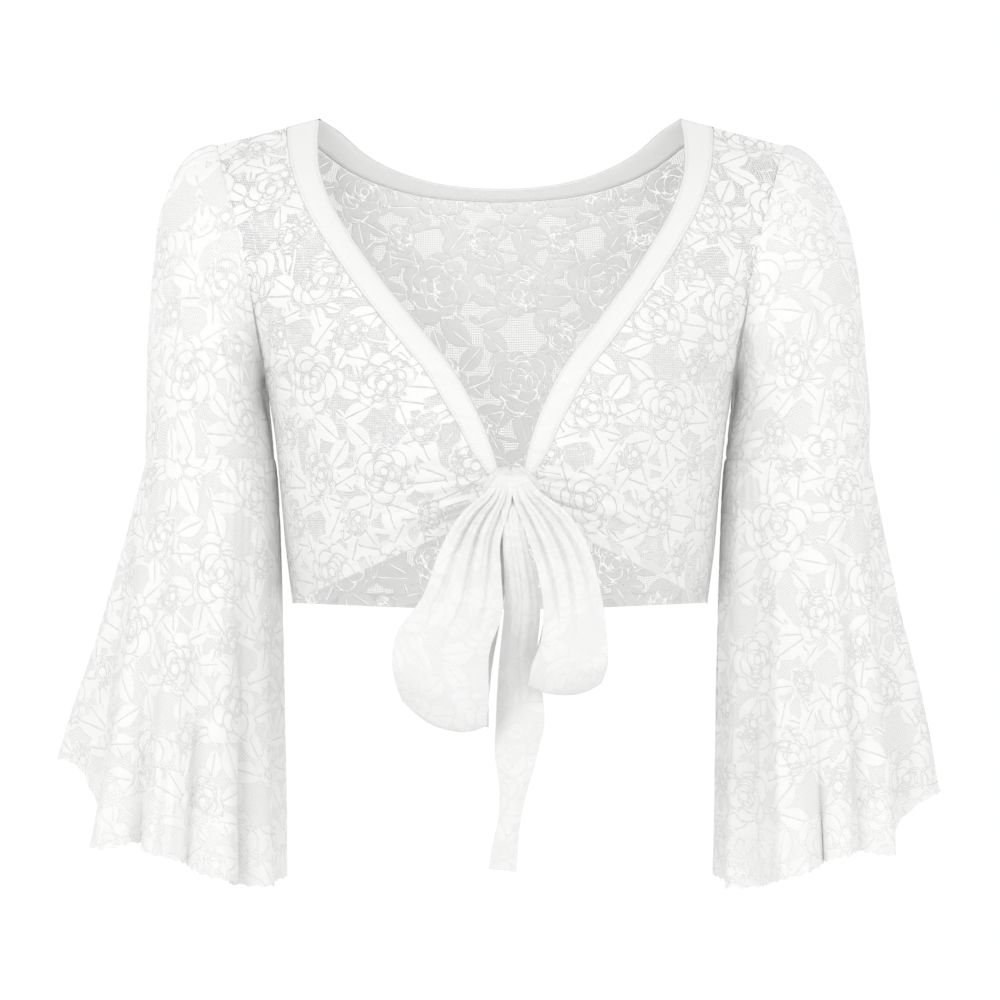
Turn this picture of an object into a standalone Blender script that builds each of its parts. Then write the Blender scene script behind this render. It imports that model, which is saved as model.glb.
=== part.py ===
"""Cropped lace bolero jacket with a tied front and bell sleeves, held out as it hangs on a wearer.

The front faces -Y, +X is the wearer's left and +Z is up. The origin lies midway between the two
points where the neckline crosses the shoulder seams. Tables are in millimetres, angles in degrees.
A panel is worked out as a grid of points in the middle of its cloth, and then given its thickness.
"""

import bmesh
import bpy
import numpy as np

MM = 0.001

# Cloth and seams
WALL = 1.2
SEAM = 0.3

# Driving sizes, all from the origin
NECK_POINT = (117.0, 0.0, 2.0)
SHOULDER_SEAM_IN = (139.0, 0.0, -3.8)
SHOULDER_TIP = (186.0, 0.0, -16.0)
UNDERARM = (151.0, 0.0, -167.0)
KNOT_X = 7.0

# Grid sizes
ARMHOLE_ROWS = 12
SIDE_ROWS = 18
BAND_COLUMNS = 2
FRONT_COLUMNS = 13
NECK_COLUMNS = 8
SHOULDER_COLUMNS = 4
SLEEVE_ROWS = 8
BELL_COLUMNS = 66
BELL_ROWS = 8


def columns(names, rows):
    """A table as a dictionary of named columns."""
    return dict(zip(names.split(), np.array(rows, float).T))


def points_of(table):
    return np.stack([table["x"], table["y"], table["z"]], axis=1)


def through(points, at, knots=None):
    """Points at the shares `at`, 0 to 1, of a smooth curve through `points`.

    Each stretch is a cubic whose end slopes come from the neighbouring points. The knots are
    the chord lengths, unless they are given.
    """
    points = np.asarray(points, float)
    if knots is None:
        steps = np.linalg.norm(np.diff(points, axis=0), axis=1)
        knots = np.concatenate([[0.0], np.cumsum(steps)]) / steps.sum()
    slopes = np.gradient(points, knots, axis=0)
    at = np.clip(np.asarray(at, float), 0, 1)
    i = np.clip(np.searchsorted(knots, at, side="right") - 1, 0, len(knots) - 2)
    span = (knots[i + 1] - knots[i])[:, None]
    s = (at - knots[i])[:, None] / span
    return (
        (2 * s**3 - 3 * s**2 + 1) * points[i]
        + (s**3 - 2 * s**2 + s) * span * slopes[i]
        + (3 * s**2 - 2 * s**3) * points[i + 1]
        + (s**3 - s**2) * span * slopes[i + 1]
    )


def bezier(start, start_handle, end_handle, end, share):
    """Cubic curves, one for each row. The handles are offsets from the ends."""
    s = np.asarray(share, float)[..., None]
    first, last = start[:, None], end[:, None]
    second, third = first + start_handle[:, None], last + end_handle[:, None]
    return (
        (1 - s) ** 3 * first
        + 3 * (1 - s) ** 2 * s * second
        + 3 * (1 - s) * s**2 * third
        + s**3 * last
    )


def lobe(distance, width):
    """A soft ridge: 1 in its middle, 0 from `width` away."""
    return 0.5 * (1 + np.cos(np.pi * np.clip(distance / width, -1, 1)))


def rise(t):
    """A smooth step from 0 to 1."""
    t = np.clip(t, 0, 1)
    return t * t * (3 - 2 * t)


def unit(vectors):
    return vectors / np.linalg.norm(vectors, axis=-1, keepdims=True)


def facing(grid, ring=False):
    """Unit normals of a grid of points, right-handed from its rows to its columns."""
    if ring:
        across = np.roll(grid, -1, axis=1) - np.roll(grid, 1, axis=1)
    else:
        across = np.gradient(grid, axis=1)
    return unit(np.cross(np.gradient(grid, axis=0), across))


def mirrored(points, side):
    return points * np.array([side, 1.0, 1.0])


def material(name, colour, roughness):
    made = bpy.data.materials.new(name)
    made.use_nodes = True
    shader = made.node_tree.nodes["Principled BSDF"]
    shader.inputs["Base Color"].default_value = (*colour, 1.0)
    shader.inputs["Roughness"].default_value = roughness
    shader.inputs["Metallic"].default_value = 0.0
    return made


def wall(name, middle, outward, cloth, ring=False, thickness=WALL):
    """One closed solid: the grid's outer and inner faces, joined round the rim."""
    rows, count = middle.shape[:2]
    half = outward * thickness / 2
    points = np.concatenate([(middle + half).reshape(-1, 3), (middle - half).reshape(-1, 3)])
    index = np.arange(rows * count).reshape(rows, count)
    if ring:
        index = np.hstack([index, index[:, :1]])
    corners = index[:-1, :-1], index[:-1, 1:], index[1:, 1:], index[1:, :-1]
    outer = np.stack(corners, axis=-1).reshape(-1, 4)
    inner = outer[:, ::-1] + rows * count
    if ring:
        rims = [index[0], index[-1][::-1]]
    else:
        rims = [np.concatenate([index[0], index[1:, -1], index[-1, -2::-1], index[-2::-1, 0]])]
    edge = [
        np.stack([rim[1:], rim[:-1], rim[:-1] + rows * count, rim[1:] + rows * count], axis=-1)
        for rim in rims
    ]
    faces = np.concatenate([outer, inner, *edge])
    return solid(name, points, faces, cloth)


def solid(name, points, faces, cloth):
    mesh = bpy.data.meshes.new(name)
    mesh.from_pydata((np.asarray(points) * MM).tolist(), [], [list(map(int, f)) for f in faces])
    shape = bmesh.new()
    shape.from_mesh(mesh)
    if shape.calc_volume(signed=True) < 0:
        bmesh.ops.reverse_faces(shape, faces=shape.faces)
    shape.to_mesh(mesh)
    shape.free()
    mesh.materials.append(cloth)
    mesh.shade_smooth()
    mesh.set_sharp_from_angle(angle=np.radians(50))
    made = bpy.data.objects.new(name, mesh)
    bpy.context.scene.collection.objects.link(made)
    return made


def trimmed(grid, edges, by=SEAM / 2):
    """The grid with each named edge drawn back along its surface, which leaves the seam's gap."""
    cut = grid.copy()
    lines = {
        "top": ((0,), (1,)),
        "bottom": ((-1,), (-2,)),
        "first": ((slice(None), 0), (slice(None), 1)),
        "last": ((slice(None), -1), (slice(None), -2)),
    }
    for edge in edges:
        at, beside = lines[edge]
        cut[at] += unit(grid[beside] - grid[at]) * by
    return cut


# Edges that two or more panels share, on the +X side

ARMHOLE_FRONT = columns(
    "x y z",
    [
        SHOULDER_TIP,
        (179, -24, -38),
        (169, -42, -70),
        (161, -49, -103),
        (155, -42, -135),
        (152, -22, -158),
        UNDERARM,
    ],
)
ARMHOLE_BACK = columns(
    "x y z",
    [
        SHOULDER_TIP,
        (181, 24, -36),
        (172, 42, -68),
        (164, 50, -103),
        (157, 44, -136),
        (152, 23, -159),
        UNDERARM,
    ],
)
SIDE_SEAM = columns(
    "x y z",
    [UNDERARM, (146, 0, -200), (142, 0, -238), (139, 0, -275), (134.5, 0, -313)],
)
NECK_EDGE = columns(
    "x y z",
    [
        (0, 45, -40),
        (16, 45, -39.5),
        (53, 38, -34),
        (88, 24, -19),
        (105, 12, -5),
        NECK_POINT,
    ],
)
NECK_SEAM = columns(
    "x y z",
    [
        (0, 49, -49),
        (17, 49, -48.5),
        (57, 43, -44.5),
        (98, 29, -31),
        (124, 14, -13),
        SHOULDER_SEAM_IN,
    ],
)
SHOULDER_NORMAL = unit(np.array([18.0, 0.0, 69.0]))


def armhole(table, rows=ARMHOLE_ROWS):
    return through(points_of(table), np.linspace(0, 1, rows + 1))


def side_seam(rows):
    return through(points_of(SIDE_SEAM), np.linspace(0, 1, rows + 1))


def side_normals(seam):
    """Level with the seam's own plane, so that front and back end in parallel faces."""
    along = np.gradient(seam, axis=0)
    return unit(np.stack([-along[:, 2], 0 * along[:, 1], along[:, 0]], axis=1))


# Front panels and their neckbands. Share v runs from the shoulder seam, 0, past the underarm, 0.5,
# to the hem, 1. Share u runs along a row, from the neckline or the knot to the armhole or side.

UNDERARM_V = 0.5
KNOT_V = 0.78

FRONT_EDGE = columns(
    "v x y z",
    [
        (0.00, *NECK_POINT),
        (0.07, 118, -20, -16),
        (0.14, 116, -41, -37),
        (0.21, 107, -60, -61),
        (0.30, 84, -84, -98),
        (0.40, 60, -101, -130),
        (0.50, 36, -114, -161),
        (0.60, 20.5, -123, -189),
        (0.70, 11.5, -128.5, -213),
        (0.78, 8.0, -130, -228),
        (0.88, 8.5, -130, -240),
        (1.00, 12.0, -129, -254),
    ],
)
# Where each row sets out from the neckline, and where it comes in to the armhole or side
FRONT_REACH = columns(
    "v in_x in_y in_z out_x out_y out_z",
    [
        (0.00, 23, 0, -6.0, -23, 0, 6.0),
        (0.20, 20, -4, -1, -18, -12, 4),
        (0.35, 28, -9, -2, -12, -34, 3),
        (0.50, 42, -15, -5, 7, -60, 0),
        (0.65, 48, -14, -4, 6, -70, 0),
        (0.80, 46, -6, -12, 3, -68, 2),
        (1.00, 40, 5, -18, 1, -60, 3),
    ],
)
BAND_SHARE = columns(
    "v share",
    [
        (0.0, 0.3188),
        (0.1, 0.30),
        (0.2, 0.27),
        (0.3, 0.215),
        (0.4, 0.165),
        (0.5, 0.125),
        (0.6, 0.108),
        (0.7, 0.085),
        (0.78, 0.045),
        (0.88, 0.03),
        (1.0, 0.03),
    ],
)
# Folds that fan out from the knot: where they start along the gathered edge, and how far they go
GATHERS = columns(
    "v depth reach",
    [
        (0.583, 2.2, 0.55),
        (0.667, 2.8, 0.70),
        (0.750, 2.6, 0.62),
        (0.833, 3.2, 0.80),
        (0.917, 2.8, 0.90),
        (0.985, 2.0, 0.75),
    ],
)
GATHER_WIDTH = 0.056


def front_values(table, v, names):
    return through(np.stack([table[n] for n in names], axis=1), v, table["v"])


def front_grid(side, v, band, panel):
    """Rows of a front at the shares v, with `band` and `panel` steps along each row."""
    start = front_values(FRONT_EDGE, v, ("x", "y", "z"))
    start[:, 0] += side * KNOT_X * np.clip(v / KNOT_V, 0, 1)
    inwards = front_values(FRONT_REACH, v, ("in_x", "in_y", "in_z"))
    outwards = front_values(FRONT_REACH, v, ("out_x", "out_y", "out_z"))
    rows_at_armhole = v <= UNDERARM_V
    end = np.concatenate(
        [
            through(points_of(ARMHOLE_FRONT), v[rows_at_armhole] / UNDERARM_V),
            through(points_of(SIDE_SEAM), (v[~rows_at_armhole] - UNDERARM_V) / (1 - UNDERARM_V)),
        ]
    )
    seam = np.interp(v, BAND_SHARE["v"], BAND_SHARE["share"])[:, None]
    u = np.hstack(
        [seam * np.linspace(0, 1, band + 1)[None, :-1], seam + (1 - seam) * np.linspace(0, 1, panel + 1)]
    )
    grid = bezier(start, inwards, outwards, end, u)
    push = gathered(u, v[:, None])
    return mirrored(grid + facing(grid) * push[..., None], side)


def gathered(u, v):
    """How far the folds stand out. They fade at the knot, at the side seam and past their reach."""
    out = np.zeros_like(u * v)
    for at, depth, reach in zip(GATHERS["v"], GATHERS["depth"], GATHERS["reach"]):
        along = rise(u / 0.12) * (1 - rise(u / reach))
        out -= depth * lobe(v - at, GATHER_WIDTH) * along
    return out


def front_rows(side_rows):
    upper = np.linspace(0, UNDERARM_V, ARMHOLE_ROWS + 1)
    lower = np.linspace(UNDERARM_V, 1, side_rows + 1)[1:]
    return np.concatenate([upper, lower])


def fronts(cloth, plain):
    v = front_rows(SIDE_ROWS)
    last_band_row = int(np.searchsorted(v, KNOT_V))
    for side, word in ((-1, "right"), (1, "left")):
        grid = front_grid(side, v, BAND_COLUMNS, FRONT_COLUMNS)
        outward = facing(grid) * side
        outward[0] = mirrored(SHOULDER_NORMAL, side)
        outward[ARMHOLE_ROWS:, -1] = mirrored(side_normals(side_seam(SIDE_ROWS)), side)
        panel, band = grid[:, BAND_COLUMNS:], grid[: last_band_row + 1, : BAND_COLUMNS + 1]
        cut = trimmed(panel, ("top", "first"))
        cut[ARMHOLE_ROWS:, -1, 1] -= SEAM / 2
        wall(f"front_{word}", cut, outward[:, BAND_COLUMNS:], cloth)
        band_out = outward[: last_band_row + 1, : BAND_COLUMNS + 1]
        wall(f"neckband_{word}", trimmed(band, ("top", "last")), band_out, plain)
        ARMHOLE_NORMALS[side, "front"] = outward[: ARMHOLE_ROWS + 1, -1]


ARMHOLE_NORMALS = {}

# Back panel. Its rows run from the centre line to the armhole or side, and its top edge is the
# neckband's seam and then the shoulder seam.

CENTRE_BACK = columns(
    "v x y z",
    [
        (0.00, 0, 49, -49),
        (0.25, 0, 70, -102),
        (0.50, 0, 83, -170),
        (0.75, 0, 87, -243),
        (1.00, 0, 84, -319),
    ],
)
BACK_REACH = columns(
    "v in_x in_y in_z out_x out_y out_z",
    [
        (0.00, 70, 4, 8, -40, 10, 6),
        (0.20, 76, 6, 3, -32, 22, 4),
        (0.38, 82, 6, 1, -10, 44, 2),
        (0.50, 84, 5, 0, 4, 58, 0),
        (0.75, 80, 3, 0, 4, 58, 0),
        (1.00, 76, 2, 0, 2, 54, 0),
    ],
)
TOP_FADES_BY = 0.62
BACK_SIDE_ROWS = 9


def back_half(v, u):
    """The +X half of the back, at the shares v down and u out from the centre line."""
    start = front_values(CENTRE_BACK, v, ("x", "y", "z"))
    inwards = front_values(BACK_REACH, v, ("in_x", "in_y", "in_z"))
    outwards = front_values(BACK_REACH, v, ("out_x", "out_y", "out_z"))
    rows_at_armhole = v <= UNDERARM_V
    end = np.concatenate(
        [
            through(points_of(ARMHOLE_BACK), v[rows_at_armhole] / UNDERARM_V),
            through(points_of(SIDE_SEAM), (v[~rows_at_armhole] - UNDERARM_V) / (1 - UNDERARM_V)),
        ]
    )
    grid = bezier(start, inwards, outwards, end, np.broadcast_to(u, (len(v), len(u))))
    off_top = top_edge(u) - grid[0]
    fade = (1 - rise(v / TOP_FADES_BY))[:, None, None]
    return grid + fade * off_top


NECK_SHARE = 0.72


def top_edge(u):
    """The back's top edge at the shares u: the neck seam as far as NECK_SHARE, then the shoulder."""
    neck = through(points_of(NECK_SEAM), u[u <= NECK_SHARE] / NECK_SHARE)
    along = ((u[u > NECK_SHARE] - NECK_SHARE) / (1 - NECK_SHARE))[:, None]
    corner = points_of(NECK_SEAM)[-1]
    return np.concatenate([neck, corner + along * (np.array(SHOULDER_TIP) - corner)])


def back(cloth, plain):
    v = front_rows(BACK_SIDE_ROWS)
    u = np.concatenate(
        [
            np.linspace(0, NECK_SHARE, NECK_COLUMNS + 1),
            np.linspace(NECK_SHARE, 1, SHOULDER_COLUMNS + 1)[1:],
        ]
    )
    half = back_half(v, u)
    grid = np.concatenate([mirrored(half[:, :0:-1], -1), half], axis=1)
    outward = facing(grid)
    if outward[-1, len(u), 1] < 0:
        outward = -outward
    for side, shoulder in ((-1, slice(0, SHOULDER_COLUMNS + 1)), (1, slice(-SHOULDER_COLUMNS - 1, None))):
        outward[0, shoulder] = mirrored(SHOULDER_NORMAL, side)
        edge = 0 if side < 0 else -1
        outward[ARMHOLE_ROWS:, edge] = mirrored(side_normals(side_seam(BACK_SIDE_ROWS)), side)
        ARMHOLE_NORMALS[side, "back"] = outward[: ARMHOLE_ROWS + 1, edge]
    cut = trimmed(grid, ("top",))
    cut[ARMHOLE_ROWS:, (0, -1), 1] += SEAM / 2
    wall("back_panel", cut, outward, cloth)

    neck_columns = slice(SHOULDER_COLUMNS, -SHOULDER_COLUMNS)
    seam_line = grid[0, neck_columns]
    edge_half = through(points_of(NECK_EDGE), np.linspace(0, 1, NECK_COLUMNS + 1))
    edge_line = np.concatenate([mirrored(edge_half[:0:-1], -1), edge_half])
    band = np.stack([edge_line, (edge_line + seam_line) / 2, seam_line])
    band_out = np.repeat(outward[0, neck_columns][None], 3, axis=0)
    for end, side in ((0, -1), (-1, 1)):
        band_out[:, end] = mirrored(SHOULDER_NORMAL, side)
    cut = trimmed(band, ("bottom",), SEAM)
    cut[:, (0, -1), 1] += SEAM / 2
    wall("neckband_back", cut, band_out, plain)


# Upper sleeves. A sleeve laps over the armhole's edge, and runs down to a level seam above the
# elbow. Its rows go round from the shoulder tip by the front, the underarm and the back.

SLEEVE_START = columns(
    "angle x y z",
    [
        (0, 42, 0, -6),
        (60, 26, -6, -30),
        (110, 16, -4, -36),
        (150, 8, -2, -22),
        (180, 3, 0, -12),
        (210, 8, 2, -22),
        (250, 16, 4, -36),
        (300, 26, 6, -30),
        (360, 42, 0, -6),
    ],
)
SLEEVE_DROP = columns("angle z", [(0, 104), (90, 44), (180, 14), (270, 44), (360, 104)])
ELBOW_Z = -219.0
ELBOWS = {
    "right": {"x": 188.5, "half_x": 41.5, "half_y": 47.0},
    "left": {"x": 193.5, "half_x": 46.5, "half_y": 47.0},
}


def elbow_ring(word, angle, z):
    """The level oval where the sleeve and the bell meet. Angle 0 is outermost, 90 in front."""
    size, turn = ELBOWS[word], np.radians(angle)
    x = size["x"] + size["half_x"] * np.cos(turn)
    return np.stack([x, -size["half_y"] * np.sin(turn), np.full_like(turn, z)], axis=-1)


def elbow_normals(word, angle):
    size, turn = ELBOWS[word], np.radians(angle)
    out = [np.cos(turn) / size["half_x"], -np.sin(turn) / size["half_y"], 0 * turn]
    return unit(np.stack(out, axis=-1))


def arc_angles(line):
    """0 to 180 degrees along a line, in proportion to its length."""
    steps = np.linalg.norm(np.diff(line, axis=0), axis=1)
    return 180 * np.concatenate([[0.0], np.cumsum(steps)]) / steps.sum()


def sleeves(cloth):
    front, rear = armhole(ARMHOLE_FRONT), armhole(ARMHOLE_BACK)
    edge = np.concatenate([front, rear[-2:0:-1]])
    angle = np.concatenate([arc_angles(front), 360 - arc_angles(rear)[-2:0:-1]])
    for side, word in ((-1, "right"), (1, "left")):
        body_out = np.concatenate(
            [ARMHOLE_NORMALS[side, "front"], ARMHOLE_NORMALS[side, "back"][-2:0:-1]]
        )
        lapped = mirrored(edge, side) + body_out * (WALL + SEAM)
        start = mirrored(lapped, side)
        end = elbow_ring(word, angle, ELBOW_Z + SEAM / 2)
        set_out = through(points_of(SLEEVE_START), angle / 360, SLEEVE_START["angle"] / 360)
        drop = np.interp(angle, SLEEVE_DROP["angle"], SLEEVE_DROP["z"])
        come_in = np.stack([0 * drop, 0 * drop, drop], axis=1)
        share = np.linspace(0, 1, SLEEVE_ROWS + 1) ** 1.15
        tube = bezier(start, set_out, come_in, end, np.broadcast_to(share, (len(angle), len(share))))
        grid = mirrored(tube.transpose(1, 0, 2), side)
        outward = facing(grid, ring=True)
        if (outward[-1, 0] * (side, 0, 0)).sum() < 0:
            outward = -outward
        outward[-1] = mirrored(elbow_normals(word, angle), side)
        wall(f"sleeve_{word}", grid, outward, cloth, ring=True)


# Bells. Each is a flared flounce whose hem hangs in flutes, longer in front and inside than outside.

BELL_HEM = {
    "right": columns(
        "angle x y z",
        [
            (0, 278, -2, -413),
            (14, 275, -20, -420),
            (30, 257, -46, -460),
            (60, 233, -68, -464),
            (90, 206, -78, -474),
            (120, 174, -74, -487),
            (150, 149, -46, -493),
            (180, 138, -2, -490),
            (215, 146, 40, -478),
            (255, 182, 66, -462),
            (300, 236, 60, -444),
            (335, 269, 34, -424),
            (360, 278, -2, -413),
        ],
    ),
    "left": columns(
        "angle x y z",
        [
            (0, 281, -2, -434),
            (14, 276, -20, -439),
            (30, 253, -46, -467),
            (60, 230, -68, -469),
            (90, 207, -78, -475),
            (120, 176, -74, -488),
            (150, 150, -46, -494),
            (180, 139, -2, -490),
            (215, 147, 40, -478),
            (255, 184, 66, -464),
            (300, 238, 60, -452),
            (335, 271, 34, -440),
            (360, 281, -2, -434),
        ],
    ),
}
FLUTES = {
    "right": columns(
        "angle width depth",
        [
            (2, 19, 15),
            (39, 22, 17),
            (80, 21, 15),
            (117, 17, 16),
            (148, 14, 12),
            (181, 24, 7),
            (219, 18, 13),
            (256, 20, 15),
            (296, 20, 14),
            (332, 16, 13),
        ],
    ),
    "left": columns(
        "angle width depth",
        [
            (4, 20, 15),
            (41, 19, 16),
            (76, 18, 13),
            (112, 20, 17),
            (149, 16, 13),
            (182, 22, 7),
            (217, 17, 12),
            (251, 19, 15),
            (291, 21, 14),
            (330, 17, 14),
        ],
    ),
}
FLUTE_BASE = -7.0
FLUTE_LEAN = 0.03
FLUTE_GROWTH = 1.25
FLARE_POWER = 0.75
FLARE_SWING = 0.3


def fluted(table, angle):
    """How far the hem stands out at each angle, in millimetres."""
    out = np.full_like(angle, FLUTE_BASE)
    for at, width, depth in zip(table["angle"], table["width"], table["depth"]):
        out += depth * lobe((angle - at + 180) % 360 - 180, width)
    return out


def bell_grid(word, angle, share):
    """Rows down the bell at the shares 0 to 1, columns round it at the angles."""
    hem_table, flutes = BELL_HEM[word], FLUTES[word]
    hem = through(points_of(hem_table), angle / 360, hem_table["angle"] / 360)
    top = elbow_ring(word, angle, ELBOW_Z - SEAM / 2)
    out = elbow_normals(word, angle)
    along = np.stack([-out[:, 1], out[:, 0], 0 * out[:, 0]], axis=1)
    s = share[:, None, None]
    flare = s ** (FLARE_POWER + FLARE_SWING * out[:, :1])
    reach = np.concatenate([flare, flare, s + 0 * flare], axis=2)
    slope = np.degrees(fluted(flutes, angle + 0.5) - fluted(flutes, angle - 0.5))
    fold = out * fluted(flutes, angle)[:, None] + along * (FLUTE_LEAN * slope)[:, None]
    return top + (hem - top) * reach + s**FLUTE_GROWTH * fold


def bells(cloth):
    angle = np.linspace(0, 360, BELL_COLUMNS, endpoint=False)
    share = np.linspace(0, 1, BELL_ROWS + 1)
    for side, word in ((-1, "right"), (1, "left")):
        grid = mirrored(bell_grid(word, angle, share), side)
        outward = facing(grid, ring=True)
        if outward[0, 0, 0] * side < 0:
            outward = -outward
        outward[0] = mirrored(elbow_normals(word, angle), side)
        wall(f"bell_{word}", grid, outward, cloth, ring=True)


# The knot: a low soft drum with upright pleats. It is wider below, and its back is flat, where the
# ends of the fronts lie.

KNOT_BACK_Y = -131.2
KNOT_DEPTH = 17.0
KNOT_HALF_X = 17.0
KNOT_TOP_Z = -226.0
KNOT_BOTTOM_Z = -247.0
KNOT_COLUMNS = 24
KNOT_ROWS = 9
KNOT_ROUNDING = {"top": 0.80, "bottom": 0.45}
KNOT_FLARE = 2.0
KNOT_PLEATS = 6
KNOT_PLEAT_DEPTH = 1.1


def knot(cloth):
    """Level half ovals stacked up, drawn in most at the top, with the pleats cut into them."""
    turn = np.linspace(0, np.pi, KNOT_COLUMNS)
    rings = []
    for level in np.linspace(-1, 1, KNOT_ROWS):
        rounding = KNOT_ROUNDING["top"] if level > 0 else KNOT_ROUNDING["bottom"]
        size = np.sqrt(1 - (rounding * level) ** 2)
        pleat = KNOT_PLEAT_DEPTH * (1 + np.cos(2 * KNOT_PLEATS * turn)) / 2
        x = KNOT_X + (KNOT_HALF_X * size - KNOT_FLARE * level - pleat) * np.cos(turn)
        y = KNOT_BACK_Y - (KNOT_DEPTH * size - pleat) * np.sin(turn)
        z = KNOT_BOTTOM_Z + (KNOT_TOP_Z - KNOT_BOTTOM_Z) * (1 + level) / 2
        rings.append(np.stack([x, y, np.full_like(turn, z)], axis=1))
    points = np.concatenate(rings)
    index = np.arange(KNOT_ROWS * KNOT_COLUMNS).reshape(KNOT_ROWS, KNOT_COLUMNS)
    index = np.hstack([index, index[:, :1]])
    corners = index[:-1, :-1], index[:-1, 1:], index[1:, 1:], index[1:, :-1]
    faces = np.stack(corners, axis=-1).reshape(-1, 4).tolist()
    faces += [index[0, :-1][::-1].tolist(), index[-1, :-1].tolist()]
    solid("knot", points, faces, cloth)


# Loops and ends of the bow. Each is one strip: its middle line, its half width, how far its middle
# bows out and sags below its two edges, and the tilt and turn of its rows.

STRIPS = {
    "loop_right": columns(
        "s x y z half bow sag tilt turn",
        [
            (0.00, 0.4, -140.6, -247.6, 6.0, 0, 0, 0, 0),
            (0.07, -9, -147, -256, 13, 1, 0, 33, 0),
            (0.16, -17, -155, -280, 19.5, 2, 0, 26, 0),
            (0.27, -23, -162, -310, 25, 4, 0, 14, 6),
            (0.37, -35, -166, -334, 29, 5, 3, 12, 8),
            (0.45, -36, -165, -360, 30, 4, 7, 15, 6),
            (0.50, -34, -157, -376, 27, 1, 11, 17, 4),
            (0.55, -34, -150, -362, 28, -2, 8, 16, 2),
            (0.63, -34, -147, -334, 27, -3, 3, 12, 0),
            (0.73, -23, -146, -310, 23, -2, 0, 14, 0),
            (0.84, -17, -143, -281, 18, -1, 0, 26, 0),
            (0.93, -8, -139.5, -258, 11, 0, 0, 33, 0),
            (1.00, 0.4, -137.2, -247.6, 6.0, 0, 0, 0, 0),
        ],
    ),
    "loop_left": columns(
        "s x y z half bow sag tilt turn",
        [
            (0.00, 13.6, -140.6, -247.6, 6.0, 0, 0, 0, 0),
            (0.07, 25, -147, -254.5, 12.5, 1, 0, -30, 0),
            (0.16, 37, -155, -277, 16.5, 2, 0, -22, 0),
            (0.27, 44, -162, -305, 18, 4, 0, -10, -6),
            (0.37, 45, -166, -328, 20, 5, 2, -4, -8),
            (0.45, 42, -164, -347, 23, 4, 5, 0, -6),
            (0.50, 39, -157, -358, 22, 1, 7, -2, -4),
            (0.55, 40, -150, -348, 21, -2, 5, -2, -2),
            (0.63, 44, -147, -328, 19, -3, 2, -4, 0),
            (0.73, 43, -146, -305, 16, -2, 0, -10, 0),
            (0.84, 36, -143, -278, 14, -1, 0, -22, 0),
            (0.93, 23, -139.5, -256, 10, 0, 0, -30, 0),
            (1.00, 13.6, -137.2, -247.6, 6.0, 0, 0, 0, 0),
        ],
    ),
    "end_front": columns(
        "s x y z half bow sag tilt turn",
        [
            (0.00, 7.5, -134.4, -247.6, 5.5, 0, 0, 0, 0),
            (0.09, 8, -139, -268, 5.5, 0, 0, 0, 0),
            (0.20, 12, -145, -291, 8.5, 1, 0, 0, 0),
            (0.30, 13.5, -148, -312, 10.5, 1, 0, 0, 3),
            (0.40, 11.5, -144.5, -338, 11.5, 1, 0, 2, 3),
            (0.50, 12, -141.5, -359, 13.5, 1, 0, 4, 2),
            (0.61, 12, -143, -383, 15, 4, 0, 4, 0),
            (0.71, 9.5, -145, -405, 12.5, 4, 0, 2, -6),
            (0.80, 8, -146, -422, 9, 3, 0, 0, -4),
            (0.88, 6, -146, -440, 7, 2, 0, 0, 0),
            (0.96, 3, -146, -459, 8, 1, 0, 2, 4),
            (1.00, 1.5, -146, -473, 8.5, 0, 0, 6, 6),
        ],
    ),
    "end_back": columns(
        "s x y z half bow sag tilt turn",
        [
            (0.00, 5, -132.2, -247.6, 4, 0, 0, 0, 0),
            (0.25, -3, -133, -284, 9, 0, 0, 4, 0),
            (0.50, -12, -134, -325, 11, 1, 0, 6, 0),
            (0.75, -18, -135, -357, 12, 2, 0, 6, 0),
            (1.00, -19, -136, -384, 12, 2, 0, 8, 0),
        ],
    ),
}
STRIP_ROWS = {"loop_right": 28, "loop_left": 28, "end_front": 22, "end_back": 12}
STRIP_COLUMNS = 6


def strip_grid(table, rows, count):
    """Rows along the strip, columns from its right edge to its left edge."""
    names = ("x", "y", "z", "half", "bow", "sag", "tilt", "turn")
    along = np.linspace(0, 1, rows + 1)
    values = through(np.stack([table[n] for n in names], axis=1), along, table["s"])
    line, half, bow, sag = values[:, :3], values[:, 3], values[:, 4], values[:, 5]
    tilt, turn = np.radians(values[:, 6]), np.radians(values[:, 7])
    w = np.linspace(-1, 1, count + 1)
    across = unit(np.stack([np.cos(tilt) * np.cos(turn), np.sin(turn), -np.sin(tilt)], axis=1))
    grid = line[:, None] + across[:, None] * (half[:, None] * w)[..., None]
    grid[..., 1] -= bow[:, None] * (1 - w**2)
    grid[..., 2] -= sag[:, None] * (1 - w**2)
    return grid


def bow(cloth):
    for name, table in STRIPS.items():
        grid = strip_grid(table, STRIP_ROWS[name], STRIP_COLUMNS)
        wall(name, grid, facing(grid), cloth)


def build():
    for thing in list(bpy.data.objects):
        bpy.data.objects.remove(thing)
    lace = material("lace", (0.90, 0.90, 0.89), 0.75)
    plain = material("neckband", (0.92, 0.92, 0.91), 0.7)
    tie = material("tie", (0.92, 0.92, 0.91), 0.7)
    fronts(lace, plain)
    back(lace, plain)
    sleeves(lace)
    bells(lace)
    knot(tie)
    bow(tie)


build()
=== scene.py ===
"""Dressing for a cropped lace bolero jacket with a tied front and flared bell sleeves.

Every piece of cloth is a thin sheet on the form of its solid, with finer folds and a lace made of
roses, leaves and stems on a net. Tables are in millimetres from the frame's origin, and angles are
in degrees. The front faces -Y, and +X is the wearer's left.
"""

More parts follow.
